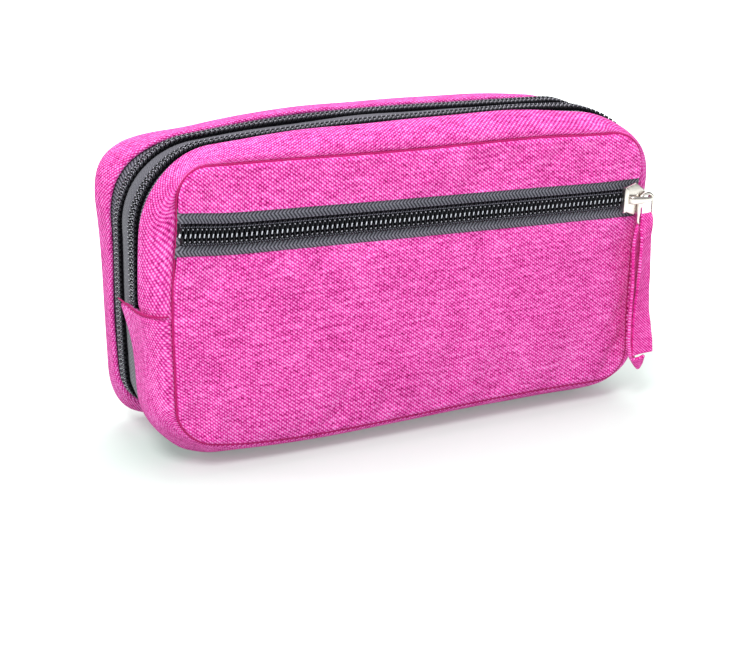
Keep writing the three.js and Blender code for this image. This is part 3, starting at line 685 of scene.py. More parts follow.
# Painted highlights: lighter nylon on the outward faces of the coil heads stands in for glints, dimmer on
# the perimeter zips
NYLON_PAINTED_GLINT = solid_finish(
    "coil_nylon_painted_glint", srgb(166, 166, 180), srgb(230, 230, 240), roughness=0.2, scale=900,
    Coat_Weight=1.0, Coat_Roughness=0.06,
)
NYLON_PAINTED_DIM_GLINT = solid_finish(
    "coil_nylon_painted_dim_glint", srgb(126, 124, 138), srgb(186, 184, 198), roughness=0.3, scale=900,
    Coat_Weight=0.6, Coat_Roughness=0.1,
)
# Painted shade: the cord under each coil is near black, darker than the nylon, and stands in for the shade
# between the turns
COIL_CORD_PAINTED_SHADE = solid_finish(
    "coil_cord_painted_shade", srgb(3, 3, 7), srgb(12, 11, 18), roughness=0.9, scale=1500, bump=0.4,
    depth=0.1 * MM, Specular_IOR_Level=0.1,
)
METAL = solid_finish(
    "slider_nickel", srgb(196, 188, 180), srgb(238, 232, 226), roughness=0.3, scale=700, bump=0.12,
    metallic=1.0,
)
LINING = cloth_finish(
    "lining_cloth", srgb(124, 122, 134), srgb(84, 82, 94), srgb(36, 35, 42),
    pitch=(0.5 * MM, 0.5 * MM), strength=0.6, heather=0.4,
)
ELASTIC = tape_finish(
    "ribbed_elastic", srgb(74, 72, 80), srgb(24, 23, 28), width=40 * MM, pitch=0.9 * MM, lean=0.0,
)
FOAM = solid_finish(
    "insulation_foam", srgb(214, 212, 204), srgb(240, 238, 232), roughness=0.9, scale=900, bump=0.5,
    depth=0.3 * MM,
)
NET = net_finish()
FOIL = foil_finish()
GEL = gel_finish()

# Gussets: a closed section that is swept along the girth
ROLL_STEPS = 10
EDGE_STEPS = 5
FLAT_SHARES = (0.35, 0.7)
GROOVE_TURN = 0.16
STATION = 2.2 * MM
UNDER_LAP = 3 * MM
FRONT_ROLL = FRONT_EDGE_Y - FRONT_SEAM_Y
BASE_FLAT = BASE_EDGE_Y - FRONT_EDGE_Y
LOWER_CORNER = STRAIGHT + 0.4 * ARC

# The base gusset's rear edge: forward at the sides and lower corners, and proud at its upper ends
DRAWN_SIDE = 5 * MM
DRAWN_RISE = 24 * MM
DRAWN_CORNER = 3.5 * MM
SLANT_BACK = 5.6 * MM
SLANT_SHARE = 0.75
END_LONG, END_BACK, END_PROUD = 16 * MM, 3.2 * MM, 0.7 * MM
TIP_LONG, TIP_BACK, TIP_PROUD = 5 * MM, 1.6 * MM, 1.1 * MM


def stations(start, end, step=STATION):
    count = max(2, int(round((end - start) / step)) + 1)
    return np.linspace(start, end, count)


def roll_section(seam_y, roll_y, edge_y):
    """Levels of a rolled gusset from its seam groove to its turned edge, and back inside."""
    depth = roll_y - seam_y
    way = math.copysign(1, depth)
    half = WALL / 2
    turn = np.linspace(0, math.pi / 2, ROLL_STEPS)
    groove = way * GROOVE * np.exp(-(turn / GROOVE_TURN) ** 2)
    outer = [(math.sin(t), 0.0, seam_y + depth * (1 - math.cos(t)) + g) for t, g in zip(turn, groove)]
    flat = []
    if abs(edge_y - roll_y) >= WALL:
        flat = [(1.0, 0.0, lerp(roll_y, edge_y - way * half, share)) for share in FLAT_SHARES]
    curl = [
        (1.0, half * (1 - math.cos(a)), edge_y - way * half + way * half * math.sin(a))
        for a in np.linspace(0, math.pi, EDGE_STEPS)
    ]
    inner = [
        (math.sin(t), WALL * math.sin(t), seam_y + way * WALL + (depth - way * WALL) * (1 - math.cos(t)))
        for t in turn[::-1]
    ]
    return np.array(outer[:-1] + flat + curl + inner)


def gusset_piece(name, along, section, ring, seed, shape=None):
    """Sweeps a section along the girth, with the small unevenness of sewn cloth."""
    s = np.asarray(along)[:, None]
    levels = (len(s), len(section))
    spread, inset, y = (np.broadcast_to(section[None, :, k], levels).copy() for k in range(3))
    if shape is not None:
        spread, inset, y = shape(s, spread, inset, y)
    bulge = np.sin(spread * math.pi / 2) ** 2
    inset = inset + wander(s, (5, 9, 14), 0.35 * MM, seed) * bulge
    y = y + wander(s, (4, 7, 11), 0.45 * MM, seed + 1) * bulge
    grid = girth_point(s, spread, inset, y)
    gone = walked_along(grid[len(grid) // 2])
    flat = np.stack(np.broadcast_arrays(s + 0 * y, gone[None, :] + 0 * y), -1)
    return grid_piece(name, grid, flat, ring, True, not ring, GIRTH if ring else None)


def finish_gusset(piece, section, node, body):
    """Pink cloth outside and lining on the inner levels."""
    dress(piece, PINK, LINING)
    first_inner, last = len(section) - ROLL_STEPS - 1, len(section) - 1
    inside = [int(first_inner <= p.vertices[0] % len(section) < last) for p in piece.data.polygons]
    piece.data.polygons.foreach_set("material_index", inside)
    soften(piece)
    fitted(piece, "pink_cloth", node, folds=body)


def under_base(s, spread, inset, y):
    """The upper gusset goes under the edge of the base gusset."""
    past = np.minimum(s - right_at(FOLD_Z), left_at(FOLD_Z) - s)
    return spread, inset + 1.0 * MM * smooth(1 - past / (1.5 * MM)), y


def drawn_forward(s):
    """How far the base gusset's rear edge is drawn forward at its sides and lower corners."""
    walked = from_bottom(s)
    past_fold = right_at(FOLD_Z) - walked
    corner = np.exp(-((walked - LOWER_CORNER) / (0.5 * ARC)) ** 2)
    off_strip = smooth((walked - STRIP_HALF - 3 * MM) / (0.4 * ARC))
    return (DRAWN_SIDE * smooth(past_fold / DRAWN_RISE) + DRAWN_CORNER * corner) * off_strip


def base_shape(s, spread, inset, y):
    """Under the case the gusset slants back. Its upper ends stand proud and reach over the band."""
    under = smooth((STRAIGHT + 0.9 * ARC - np.abs(s)) / (0.6 * ARC))
    rolled = (y - FRONT_SEAM_Y) / FRONT_ROLL
    left_over = (BASE_EDGE_Y - y) / BASE_FLAT
    y = y + SLANT_BACK * under * np.clip(np.minimum(rolled, left_over), 0, 1)
    slant = 1 - np.sqrt(np.maximum(0, 1 - spread ** 2))
    spread = lerp(spread, slant, SLANT_SHARE * under)
    past = np.minimum(s + GIRTH - left_at(FOLD_Z), right_at(FOLD_Z) - s)
    near_end = smooth(1 - past / END_LONG)
    tip = np.exp(-past / TIP_LONG)
    rear = np.clip((y - FRONT_EDGE_Y) / BASE_FLAT, 0, 1)
    y = y + rear * near_end * END_BACK + rear * tip * TIP_BACK - rear * drawn_forward(s)
    inset = inset - (tip * TIP_PROUD + rear * near_end * END_PROUD) * np.clip(spread * 4, 0, 1)
    return spread, inset, y


def add_front_gusset():
    section = roll_section(FRONT_SEAM_Y, FRONT_EDGE_Y, FRONT_EDGE_Y)
    along = stations(right_at(FOLD_Z - UNDER_LAP), left_at(FOLD_Z - UNDER_LAP))
    piece = gusset_piece("front_gusset_cloth", along, section, False, seed=21, shape=under_base)
    finish_gusset(piece, section, "front_gusset", "front_flap")


def add_base_gusset():
    section = roll_section(FRONT_SEAM_Y, FRONT_EDGE_Y, BASE_EDGE_Y)
    along = stations(left_at(FOLD_Z) - GIRTH, right_at(FOLD_Z))
    piece = gusset_piece("base_gusset_cloth", along, section, False, seed=31, shape=base_shape)
    finish_gusset(piece, section, "base_gusset", "front_flap")


def add_rear_gusset():
    roll_end = STRIP_END_Y + 2 * FIT
    section = roll_section(REAR_SEAM_Y, roll_end, REAR_EDGE_Y)

    def open_below(s, spread, inset, y):
        """Between the zip ends the gusset stops at the base strip."""
        cut = smooth((STRIP_HALF + 1.5 * MM - from_bottom(s)) / (3 * MM))
        return spread, inset, np.maximum(y, lerp(REAR_EDGE_Y, roll_end, cut))

    along = stations(0, GIRTH)[:-1]
    piece = gusset_piece("rear_gusset_cloth", along, section, True, seed=41, shape=open_below)
    finish_gusset(piece, section, "rear_gusset", "rear_shell")


def seam_tube(name, path, radius, reference, **moves):
    """The dark line of a seam: the folded cloth at the bottom of its groove, a darker pink than the panels
    as painted shade.
    """
    piece = tube_piece(name, tube_grid(path, radius, 7, np.array(reference)))
    fitted(dress(piece, SEAM_SHADE_PINK), "pink_cloth", **moves)


def add_seams():
    """Seams round both panels, and along the upper edge of the base gusset."""
    s = np.append(stations(0, GIRTH, 2 * MM), GIRTH + 1 * MM)
    sunk = 0.55 * MM
    for name, y, moves in (
        ("front_seam", FRONT_SEAM_Y + sunk, {"folds": "front_flap"}),
        ("rear_seam", REAR_SEAM_Y - sunk, {"rides": "rear_shell"}),
    ):
        seam_tube(name, girth_point(s, 0, 0, y), 0.46 * MM, (0, 1.0, 0.001), **moves)
    turn = np.linspace(0.12, math.pi / 2, 12)
    flat_shares = np.array([*FLAT_SHARES, 1])
    spread = np.append(np.sin(turn), [1, 1, 1])
    y = np.append(FRONT_SEAM_Y + FRONT_ROLL * (1 - np.cos(turn)), FRONT_EDGE_Y + BASE_FLAT * flat_shares)
    for name, s_end in (("right_fold_seam", right_at(FOLD_Z)), ("left_fold_seam", left_at(FOLD_Z) - GIRTH)):
        shaped = base_shape(s_end + 0 * y, spread, 0 * y, y)
        past_end = s_end + 0 * y + math.copysign(0.25 * MM, s_end)
        path = girth_point(past_end, shaped[0], shaped[1] + 0.1 * MM, shaped[2])
        seam_tube(name, path, 0.32 * MM, (0, 0.001, 1.0), folds="front_flap")


def add_base_strip():
    """The bottom cloth between the zip ends."""
    x = np.linspace(-STRIP_HALF, STRIP_HALF, 60)[:, None]
    y = np.linspace(BASE_EDGE_Y + FIT, STRIP_END_Y + 1.5 * MM, 16)[None, :]
    lift = 0.25 * MM * (1 + np.sin(x * 210) * np.sin(y * 300 + 1))
    top = np.stack(np.broadcast_arrays(x, y, WALL + lift), -1)
    under = np.stack(np.broadcast_arrays(x, y, 0 * lift + 0.05 * MM), -1)
    loop = np.concatenate([top, under[:, ::-1]], axis=1)
    piece = dress(tube_piece("base_strip_cloth", loop, loop[..., :2]), PINK)
    add_modifier(piece, "BEVEL", width=0.5 * MM, segments=2, limit_method="ANGLE")
    fitted(piece, "pink_cloth", "base_strip", folds="rear_shell")


# Pocket zip
ZIP_TILT = 0.02176
ZIP_BARE_HALF = 7.1 * MM
ZIP_CENTRE_Z = SEAM_HIGH - 23.23 * MM
ZIP_FRONT_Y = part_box("pocket_tape_upper")[0].y
ZIP_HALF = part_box("pocket_tape_upper")[1].x
CLOTH_PROUD = 0.8 * MM

# Panels
PANEL_GROWTH = 0.012
SEAM_FADE = 4 * MM


def inside_seam(x, z):
    """Distance from the panel seam, inwards."""
    qx = np.abs(x) - (SEAM_HALF - SEAM_RADIUS)
    qz = np.abs(z - SEAM_MIDDLE) - (SEAM_TALL - SEAM_RADIUS)
    past = np.hypot(np.maximum(qx, 0), np.maximum(qz, 0))
    return SEAM_RADIUS - past - np.minimum(np.maximum(qx, qz), 0)


def rounded_half(half, past):
    """Half the width of a panel, where it is past the start of its round corner."""
    return half - SEAM_RADIUS + np.sqrt(np.maximum(0, SEAM_RADIUS ** 2 - past ** 2))


def panel_half(z):
    past = np.maximum(z - (SEAM_HIGH - SEAM_RADIUS), SEAM_LOW + SEAM_RADIUS - z)
    return rounded_half(SEAM_HALF, np.maximum(0, past))


def even_spaced(count):
    return np.linspace(-1, 1, count)


def edge_spaced(count):
    """Places from -1 to 1, closer together near both ends."""
    t = even_spaced(count)
    return 1.5 * t - 0.5 * t ** 3


def panel_grid(lines, size, spaced):
    low_line, high_line = lines
    u = spaced(size[0])[:, None]
    v = (spaced(size[1])[None, :] + 1) / 2
    side = np.sign(u) * SEAM_HALF
    x = u * panel_half(lerp(low_line(side), high_line(side), v))
    z = lerp(low_line(x), high_line(x), v)
    return x, z, (u + 1) / 2 + 0 * v, v + 0 * u


def crowned(x, z, crown):
    swell = (1 - (x / SEAM_HALF) ** 4) * (1 - np.minimum(1, np.abs((z - SEAM_MIDDLE) / SEAM_TALL)) ** 4)
    return PANEL_STEP + crown * swell


def tucked(distance):
    """How far the cloth dives into the seam groove near its edge."""
    left = np.clip(1 - distance / TUCK, 0, 1)
    return TUCK * (1 - np.sqrt(1 - left ** 2))


def puckers(x, z, seed):
    """Short ripples that run in from the seam, where the stitches draw the cloth."""
    draw = np.random.default_rng(seed)
    turn = np.arctan2(z - SEAM_MIDDLE, x) * 40
    ripple = np.sin(turn + draw.uniform(0, 6)) + np.sin(turn * 1.7 + draw.uniform(0, 6))
    inward = inside_seam(x, z)
    return 0.16 * MM * ripple * np.exp(-inward / (5 * MM)) * smooth(inward / (1.5 * MM))


def low_seam(x):
    return SEAM_LOW + 0 * x


def high_seam(x):
    return SEAM_HIGH + 0 * x


def zip_line(x, side):
    return ZIP_CENTRE_Z - math.tan(ZIP_TILT) * x + side * ZIP_BARE_HALF


def front_depth(x, z, seed):
    """Where the front cloth lies: crowned, and flush with the pocket zip beside it."""
    y = FRONT_SEAM_Y - crowned(x, z, FRONT_CROWN) - puckers(x, z, seed)
    from_zip = np.abs(z - zip_line(x, 0)) - ZIP_BARE_HALF
    near = np.exp(-(np.maximum(from_zip, 0) / (9 * MM)) ** 2)
    return lerp(y, ZIP_FRONT_Y - CLOTH_PROUD, near)


def rear_depth(x, z, seed):
    return REAR_SEAM_Y + crowned(x, z, REAR_CROWN) + puckers(x, z, seed)


def rear_rough_depth(x, z, seed):
    return REAR_SEAM_Y + crowned(x, z, REAR_CROWN)


def panel_piece(name, lines, rough, fine, seed, way, pressure, rough_depth, depth):
    """A crowned panel between two lines that has settled a little. Way 1 faces the front."""
    x, z, _, _ = panel_grid(lines, rough, even_spaced)
    pinned = np.zeros(x.shape, bool)
    pinned[[0, -1], :] = pinned[:, [0, -1]] = True
    start = np.stack([x, rough_depth(x, z, seed), z], -1)
    change = settled(start, pinned, way * pressure, PANEL_GROWTH, PANEL_BEND)
    x, z, u, v = panel_grid(lines, fine, edge_spaced)
    inward = inside_seam(x, z)
    grid = np.stack([x, depth(x, z, seed) + way * tucked(inward), z], -1)
    grid = grid + spread_over(change, u, v) * smooth(inward / SEAM_FADE)[..., None]
    piece = sheet_piece(name, slumped(grid), np.stack([x, z], -1), (0, -way, 0))
    thicken(dress(piece, PINK, LINING), CLOTH_THICK, 1)
    return piece


def add_panels():
    lower = panel_piece(
        "front_panel_cloth", (low_seam, lambda x: zip_line(x, -1)), (64, 37), (150, 74), 51,
        1, 0.8, front_depth, front_depth,
    )
    fitted(lower, "pink_cloth", "front_panel_lower", "pocket_panel", folds="front_flap")
    upper = panel_piece(
        "pocket_top_cloth", (lambda x: zip_line(x, 1), high_seam), (64, 12), (150, 24), 52,
        1, 0.5, front_depth, front_depth,
    )
    fitted(upper, "pink_cloth", "pocket_top_panel", rides="front_flap")
    rear = panel_piece(
        "rear_panel_cloth", (low_seam, high_seam), (60, 34), (130, 80), 61,
        -1, 0.8, rear_rough_depth, rear_depth,
    )
    fitted(rear, "pink_cloth", "rear_panel", rides="rear_shell")


# Coils: one turn goes under the chain to its head, round it and back over the top to its heel
PITCH = 1.8 * MM
COIL_HEEL = 3.15 * MM
COIL_LONG = -0.95 * MM
COIL_SHORT = 0.35 * MM
COIL_WIRE = 0.34 * MM
COIL_KNOTS = 9
COIL_GLINT = 4
COIL_UNDER = 0.45 * MM
COIL_OVER = 1.25 * MM
COIL_MIDDLE = (COIL_UNDER + COIL_OVER) / 2
TURN_SHARES = np.array([-0.05, 0.0, 0.0, 0.0, 0.02, 0.12, 0.3, 0.52, 0.75])
STITCH_SIDES = 5

# Rows of stitches: place across, lean, length and radius in millimetres, number a turn, and thread
STITCH_ROWS = (
    ("stitches", 2.0, -0.2, 0.66, 0.2, 1, BRIGHT_THREAD),
    ("edge_stitches", 2.8, 0.35, 0.55, 0.16, 2, DIM_THREAD),
)

# Tapes
TAPE_RECESS = 1.8 * MM
SHOULDER_PROUD = 1.9 * MM
SHOULDER = STRAIGHT + SIDE + 1.6 * ARC
SHOULDER_REACH = 26 * MM
TAPE_THICK = 0.6 * MM
TAPE_LAP = 2.5 * MM
TAPE_DIP = 1.1 * MM
CHAIN_GAP = 0.5 * MM
ZIP_SPAN = REAR_ZIP_Y - FRONT_ZIP_Y


def on_pocket(points):
    """From along, across and out of the pocket zip to the case. Its ends dive into the seams."""
    along, across, out = points[..., 0], points[..., 1], points[..., 2]
    out = out - tucked(SEAM_HALF - np.abs(along))
    cos, sin = math.cos(ZIP_TILT), math.sin(ZIP_TILT)
    return slumped(np.stack([
        along * cos + across * sin, ZIP_FRONT_Y - out, ZIP_CENTRE_Z - along * sin + across * cos,
    ], -1))


def on_girth(zip_y):
    """From along, across and out of a perimeter zip to the case. It stands proud at the right shoulder."""
    def lay(points):
        y = zip_y + points[..., 1]
        from_edge = np.minimum(y - FRONT_EDGE_Y, REAR_EDGE_Y - y)
        from_shoulder = (points[..., 0] - SHOULDER) / SHOULDER_REACH
        proud = SHOULDER_PROUD * np.exp(-from_shoulder ** 2) * smooth(from_edge / (4 * MM))
        return girth_point(points[..., 0], 1, TAPE_RECESS - proud - points[..., 2], y)
    return lay


def on_band(points):
    """As on_girth, with the band's front edge under the base gusset's."""
    s = points[..., 0]
    share = np.clip((ZIP_SPAN - points[..., 1]) / ZIP_SPAN, 0, 1)
    past_corner = smooth((from_bottom(s) - LOWER_CORNER) / (0.4 * ARC))
    reach = 1.1 * drawn_forward(s) * share * past_corner
    return on_girth(FRONT_ZIP_Y)(points - np.stack([0 * reach, reach, 0 * reach], -1))


def coil_path(start, turns, way, head):
    """A flattened spiral along a zip."""
    across = np.array([
        COIL_HEEL, 0.8 * MM, head + 0.35 * MM, head, head + 0.3 * MM,
        head + 1.5 * MM, 2.0 * MM, COIL_HEEL, COIL_HEEL + 0.35 * MM,
    ])
    out = np.array([
        COIL_UNDER, COIL_UNDER, COIL_UNDER + 0.08 * MM, COIL_MIDDLE, COIL_OVER - 0.05 * MM,
        COIL_OVER, COIL_OVER, COIL_OVER - 0.1 * MM, COIL_MIDDLE,
    ])
    turn = np.arange(turns)[:, None]
    return np.stack([
        (start + turn * PITCH + TURN_SHARES * PITCH).ravel(),
        way * np.tile(across, turns),
        np.tile(out, turns),
    ], -1)


def stitch_row(start, turns, across, lean, long, radius, per_turn):
    """A row of separate short stitches that hold a coil to its tape."""
    count = turns * per_turn
    centre = start + (np.arange(count)[:, None] + 0.5) * PITCH / per_turn
    share = np.array([-0.5, -0.28, 0.28, 0.5])[None, :]
    rise = np.array([-0.3, 0.2, 0.2, -0.3])[None, :] * MM
    path = np.stack(np.broadcast_arrays(centre + share * long, across + share * lean, COIL_OVER + rise), -1)
    turn = round_turns(STITCH_SIDES)
    ring = radius * np.stack([0 * turn, np.cos(turn), np.sin(turn)], -1)
    return path[:, :, None] + ring


def glinting(coil):
    """Marks the outward faces of each turn's head, which take a lighter nylon as a painted glint."""
    rise = coil[..., 2] - coil[..., 2].mean(axis=1, keepdims=True)
    rise = rise + np.roll(rise, -1, axis=1)
    rise = (rise[:-1] + rise[1:]) / 4
    row = np.arange(len(rise))[:, None] % COIL_KNOTS
    return ((row == COIL_GLINT) & (rise > 0.8 * COIL_WIRE)).ravel()


def tape_piece(name, along, across, lay, finish, out, *nodes, thick=TAPE_THICK, **moves):
    """A woven strip between two lines across, laid on its zip."""
    a, b = np.asarray(along)[:, None], np.asarray(across)[None, :]
    height = 0.06 * MM * np.sin(a * 900) * np.sin(b * 700) + out(a, b)
    top = np.stack(np.broadcast_arrays(a, b, height), -1)
    under = np.stack(np.broadcast_arrays(a, b, height - thick), -1)
    loop = np.concatenate([top, under[:, ::-1]], axis=1)
    piece = dress(tube_piece(name, lay(loop), loop[..., :2]), finish)
    fitted(piece, "zip_tape", *nodes, **moves)


def cord_swell(a, b):
    """The cord, painted near black as the shade between the coil's turns, is thickest in the middle of a
    coil.
    """
    return 0.62 * MM * np.clip(2.2 - 2.2 * np.abs(np.abs(b) / (1.8 * MM) - 1), 0.4, 1) + 0 * a


def half_chain(name, start, turns, way, lay, node, glint, sides=6, **moves):
    """Half a zip chain: its coil, with painted glints on its heads, on a cord painted near black as shade,
    and the rows of thread that sew it to the tape.
    """
    first = start if way > 0 else start + PITCH / 2
    head = COIL_LONG if way > 0 else COIL_SHORT
    coil = tube_grid(coil_path(first, turns, way, head), COIL_WIRE, sides, np.array([1.0, 0, 0]))
    piece = dress(tube_piece(name, lay(coil)), NYLON, glint)
    # Painted glint: the outward faces of each head take the lighter nylon
    painted_glints = glinting(coil)
    marks = np.zeros(len(piece.data.polygons), int)
    marks[:len(painted_glints)] = painted_glints
    piece.data.polygons.foreach_set("material_index", marks.tolist())
    fitted(piece, "zip_coil", node, **moves)
    for kind, at, lean, long, radius, per_turn, thread in STITCH_ROWS:
        row = stitch_row(
            first, turns, way * at * MM, way * lean * MM, long * MM, radius * MM, per_turn,
        )
        fitted(dress(repeated_tubes(f"{name}_{kind}", lay(row)), thread), "zip_tape", **moves)
    cord = np.arange(start + 0.3 * PITCH, start + turns * PITCH + PITCH, PITCH)
    across = way * np.array([0.1, 0.8, 1.7, 2.6, 3.3, 3.5]) * MM
    tape_piece(f"{name}_cord", cord, across, lay, COIL_CORD_PAINTED_SHADE, cord_swell, thick=0.3 * MM, **moves)


def pocket_sag(a, b):
    """The tape hollows out beside the coil."""
    return -0.4 * MM * np.exp(-((np.abs(b) - 4.1 * MM) / (0.7 * MM)) ** 2) + 0 * a


def rounded_box(x, z, y, radius):
    mesh = bpy.data.meshes.new("rounded_box")
    work = bmesh.new()
    bmesh.ops.create_cube(work, size=1)
    bmesh.ops.scale(work, vec=(x, y, z), verts=work.verts)
    bmesh.ops.bevel(work, geom=work.edges[:], offset=radius, segments=3, profile=0.5, affect="EDGES")
    work.to_mesh(mesh)
    work.free()
    return mesh


def add_pocket_zip():
    """Tapes, coils and end stop of the pocket zip."""
    turns = int((SEAM_HALF + ZIP_HALF - 1.6 * MM) / PITCH)
    along = edge_spaced(200) * (SEAM_HALF + 0.2 * MM)
    across = np.concatenate([[0.35], np.linspace(1.0, 3.4, 5), np.linspace(3.9, 8.2, 9)]) * MM
    for name, way, glint in (("upper", 1, NYLON_PAINTED_GLINT), ("lower", -1, NYLON)):
        tape_piece(
            f"pocket_tape_{name}_weave", along, way * across, on_pocket, TAPE, pocket_sag,
            f"pocket_tape_{name}", rides="front_flap",
        )
        half_chain(
            f"pocket_coil_{name}", 0.1 * MM - SEAM_HALF, turns, way, on_pocket, f"pocket_teeth_{name}",
            glint, sides=8, rides="front_flap",
        )
    stop = linked("pocket_end_stop", rounded_box(0.9 * MM, 4.4 * MM, 0.5 * MM, 0.2 * MM))
    centre = on_pocket(np.array([-ZIP_HALF + 1.7 * MM, 0, -0.35 * MM]))
    stop.matrix_world = Matrix.Translation(centre) @ Matrix.Rotation(ZIP_TILT, 4, "Y")
    fitted(dress(stop, METAL), "slider_metal", "pocket_zip_stop", rides="front_flap")


def under_edge(edge):
    """A tape dips where it goes under the edge of a gusset."""
    return lambda a, b: -TAPE_DIP * np.exp(-((b - edge) / (1.6 * MM)) ** 2)


def band_swell(a, b):
    waves = wander(a, (6, 13), 0.3 * MM, 71)
    return 0.35 * MM * np.cos((b - ZIP_SPAN / 2) * 300) + waves + 0 * b


def add_girth_zips():
    """The two perimeter zips: four half chains, and the tapes between the gusset edges."""
    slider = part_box("front_slider_body")
    front_start = right_at((slider[0].z + slider[1].z) / 2 + 5 * MM)
    front_turns = int((left_at(FOLD_Z - 2 * MM) - front_start) / PITCH)
    rear_start = STRIP_HALF + 2.4 * MM
    rear_turns = int((GIRTH - 2 * rear_start) / PITCH)
    for name, zip_y, start, turns, way, node, moves in (
        ("front_coil_flap", FRONT_ZIP_Y, front_start, front_turns, -1, "front_zip_flap_teeth",
         {"folds": "front_flap"}),
        ("front_coil_core", FRONT_ZIP_Y, front_start, front_turns, 1, "front_zip_core_teeth",
         {"rides": "core"}),
        ("rear_coil_core", REAR_ZIP_Y, rear_start, rear_turns, -1, "rear_zip_core_teeth",
         {"rides": "core"}),
        ("rear_coil_shell", REAR_ZIP_Y, rear_start, rear_turns, 1, "rear_zip_shell_teeth",
         {"folds": "rear_shell"}),
    ):
        half_chain(name, start, turns, way, on_girth(zip_y), node, NYLON_PAINTED_DIM_GLINT, **moves)
    edge = FRONT_EDGE_Y - FRONT_ZIP_Y
    tape_piece(
        "front_zip_tape_weave", stations(right_at(FOLD_Z - UNDER_LAP), left_at(FOLD_Z - UNDER_LAP)),
        np.linspace(edge - TAPE_LAP, -CHAIN_GAP, 12), on_girth(FRONT_ZIP_Y), TAPE,
        under_edge(edge + 0.8 * MM), "front_zip_flap_tape", folds="front_flap",
    )
    edge = REAR_EDGE_Y - REAR_ZIP_Y
    along = stations(rear_start - 1.5 * MM, GIRTH - rear_start + 1.5 * MM)
    tape_piece(
        "rear_zip_tape_weave", along, np.linspace(CHAIN_GAP, edge + TAPE_LAP, 12), on_girth(REAR_ZIP_Y),
        TAPE, under_edge(edge - 0.8 * MM), "rear_zip_shell_tape", folds="rear_shell",
    )
    tape_piece(
        "divider_band_weave", along, np.linspace(CHAIN_GAP, ZIP_SPAN - CHAIN_GAP, 20), on_band,
        BAND, band_swell, "divider_band", rides="core",
    )


# Sliders: the zip runs along X and the face is towards +Z. Outlines are in millimetres
CHANNEL = 1.7 * MM
FACE = CHANNEL + 1.3 * MM
PLATE_OUTLINE = ((-5.8, -4.2), (-0.9, -6.05), (3.4, -3.0), (3.4, 3.0), (-0.9, 6.05), (-5.8, 4.2))
REAR_OUTLINE = ((-5.4, -4.35), (-0.4, -5.4), (1.9, -5.4), (1.9, 5.4), (-0.4, 5.4), (-5.4, 4.35))
WEDGE_OUTLINE = ((-0.6, 0), (0.55, -0.9), (1.7, -0.9), (1.7, 0.9), (0.55, 0.9))
BAR_OUTLINE = ((-6.1, -4.9), (-4.6, -4.4), (-4.1, -3.0), (-4.1, 3.0), (-4.6, 4.4), (-6.1, 4.9))
BRIDGE_START, BRIDGE_END, BRIDGE_HIGH = -3.7 * MM, 5.6 * MM, 2.7 * MM
BRIDGE_THICK = 0.62 * MM
SIDEWAYS = np.array([0, 1.0, 0])


def extruded(outline, low, high, bevel):
    """A bevelled plate from an outline in X and Y, as a bmesh."""
    work = bmesh.new()
    face = work.faces.new([work.verts.new((x * MM, y * MM, low)) for x, y in outline])
    top = bmesh.ops.extrude_face_region(work, geom=[face])["geom"]
    moved = [v for v in top if isinstance(v, bmesh.types.BMVert)]
    bmesh.ops.translate(work, vec=(0, 0, high - low), verts=moved)
    bmesh.ops.recalc_face_normals(work, faces=work.faces)
    if bevel:
        bmesh.ops.bevel(
            work, geom=work.edges[:], offset=bevel, segments=3, profile=0.5, affect="EDGES",
            clamp_overlap=True,
        )
    return work


def rounder(waves, power):
    """A sine or cosine made squarer, for a bar with flats."""
    return np.sign(waves) * np.abs(waves) ** power


def bridge_work():
    """The bridge: a fat bar that rises from the plate, runs along the zip and comes down."""
    steps, sides = 22, 14
    turn = np.linspace(math.pi, 0, steps)
    middle, half = (BRIDGE_START + BRIDGE_END) / 2, (BRIDGE_END - BRIDGE_START) / 2
    x = middle + half * rounder(np.cos(turn), 0.6)
    z = FACE - 0.4 * MM + BRIDGE_HIGH * np.sin(turn) ** 0.6
    path = np.stack([x, 0 * x, z], -1)
    up = np.cross(heading(path), SIDEWAYS)
    around = round_turns(sides)
    wide = rounder(np.cos(around), 0.75)
    thick = BRIDGE_THICK * rounder(np.sin(around), 0.75)
    taper = lerp(1.5, 0.95, smooth((x - BRIDGE_START) / (BRIDGE_END - BRIDGE_START))) * MM
    aside = (taper[:, None] * wide[None, :])[..., None] * SIDEWAYS
    ring = path[:, None] + aside + thick[None, :, None] * up[:, None]
    work = bmesh.new()
    verts = [[work.verts.new(p) for p in row] for row in ring]
    for row, after in zip(verts, verts[1:]):
        for j in range(sides):
            work.faces.new((row[j], after[j], after[(j + 1) % sides], row[(j + 1) % sides]))
    work.faces.new(verts[0])
    work.faces.new(verts[-1])
    bmesh.ops.recalc_face_normals(work, faces=work.faces)
    return work


def slider_mesh():
    """Cast slider: two plates, a wedge between them, a mouth bar and a bridge."""
    seated = CHANNEL + 0.1 * MM
    works = [
        extruded(PLATE_OUTLINE, CHANNEL, FACE, 0.32 * MM),
        extruded(REAR_OUTLINE, -1.7 * MM, -0.9 * MM, 0.2 * MM),
        extruded(WEDGE_OUTLINE, -1.0 * MM, seated, 0),
        extruded(BAR_OUTLINE, seated, FACE + 1.1 * MM, 0.4 * MM),
        bridge_work(),
    ]
    mesh = bpy.data.meshes.new("slider_casting")
    whole = bmesh.new()
    for work in works:
        part = bpy.data.meshes.new("slider_part")
        work.to_mesh(part)
        whole.from_mesh(part)
        work.free()
        bpy.data.meshes.remove(part)
    whole.to_mesh(mesh)
    whole.free()
    mesh.polygons.foreach_set("use_smooth", [True] * len(mesh.polygons))
    return mesh


def add_casting(name, at, turn):
    body = linked(f"{name}_slider_casting", slider_mesh())
    body.matrix_world = Matrix.Translation(at) @ turn
    fitted(dress(body, METAL), "slider_metal", f"{name}_slider_body", rides=f"{name}_slider")


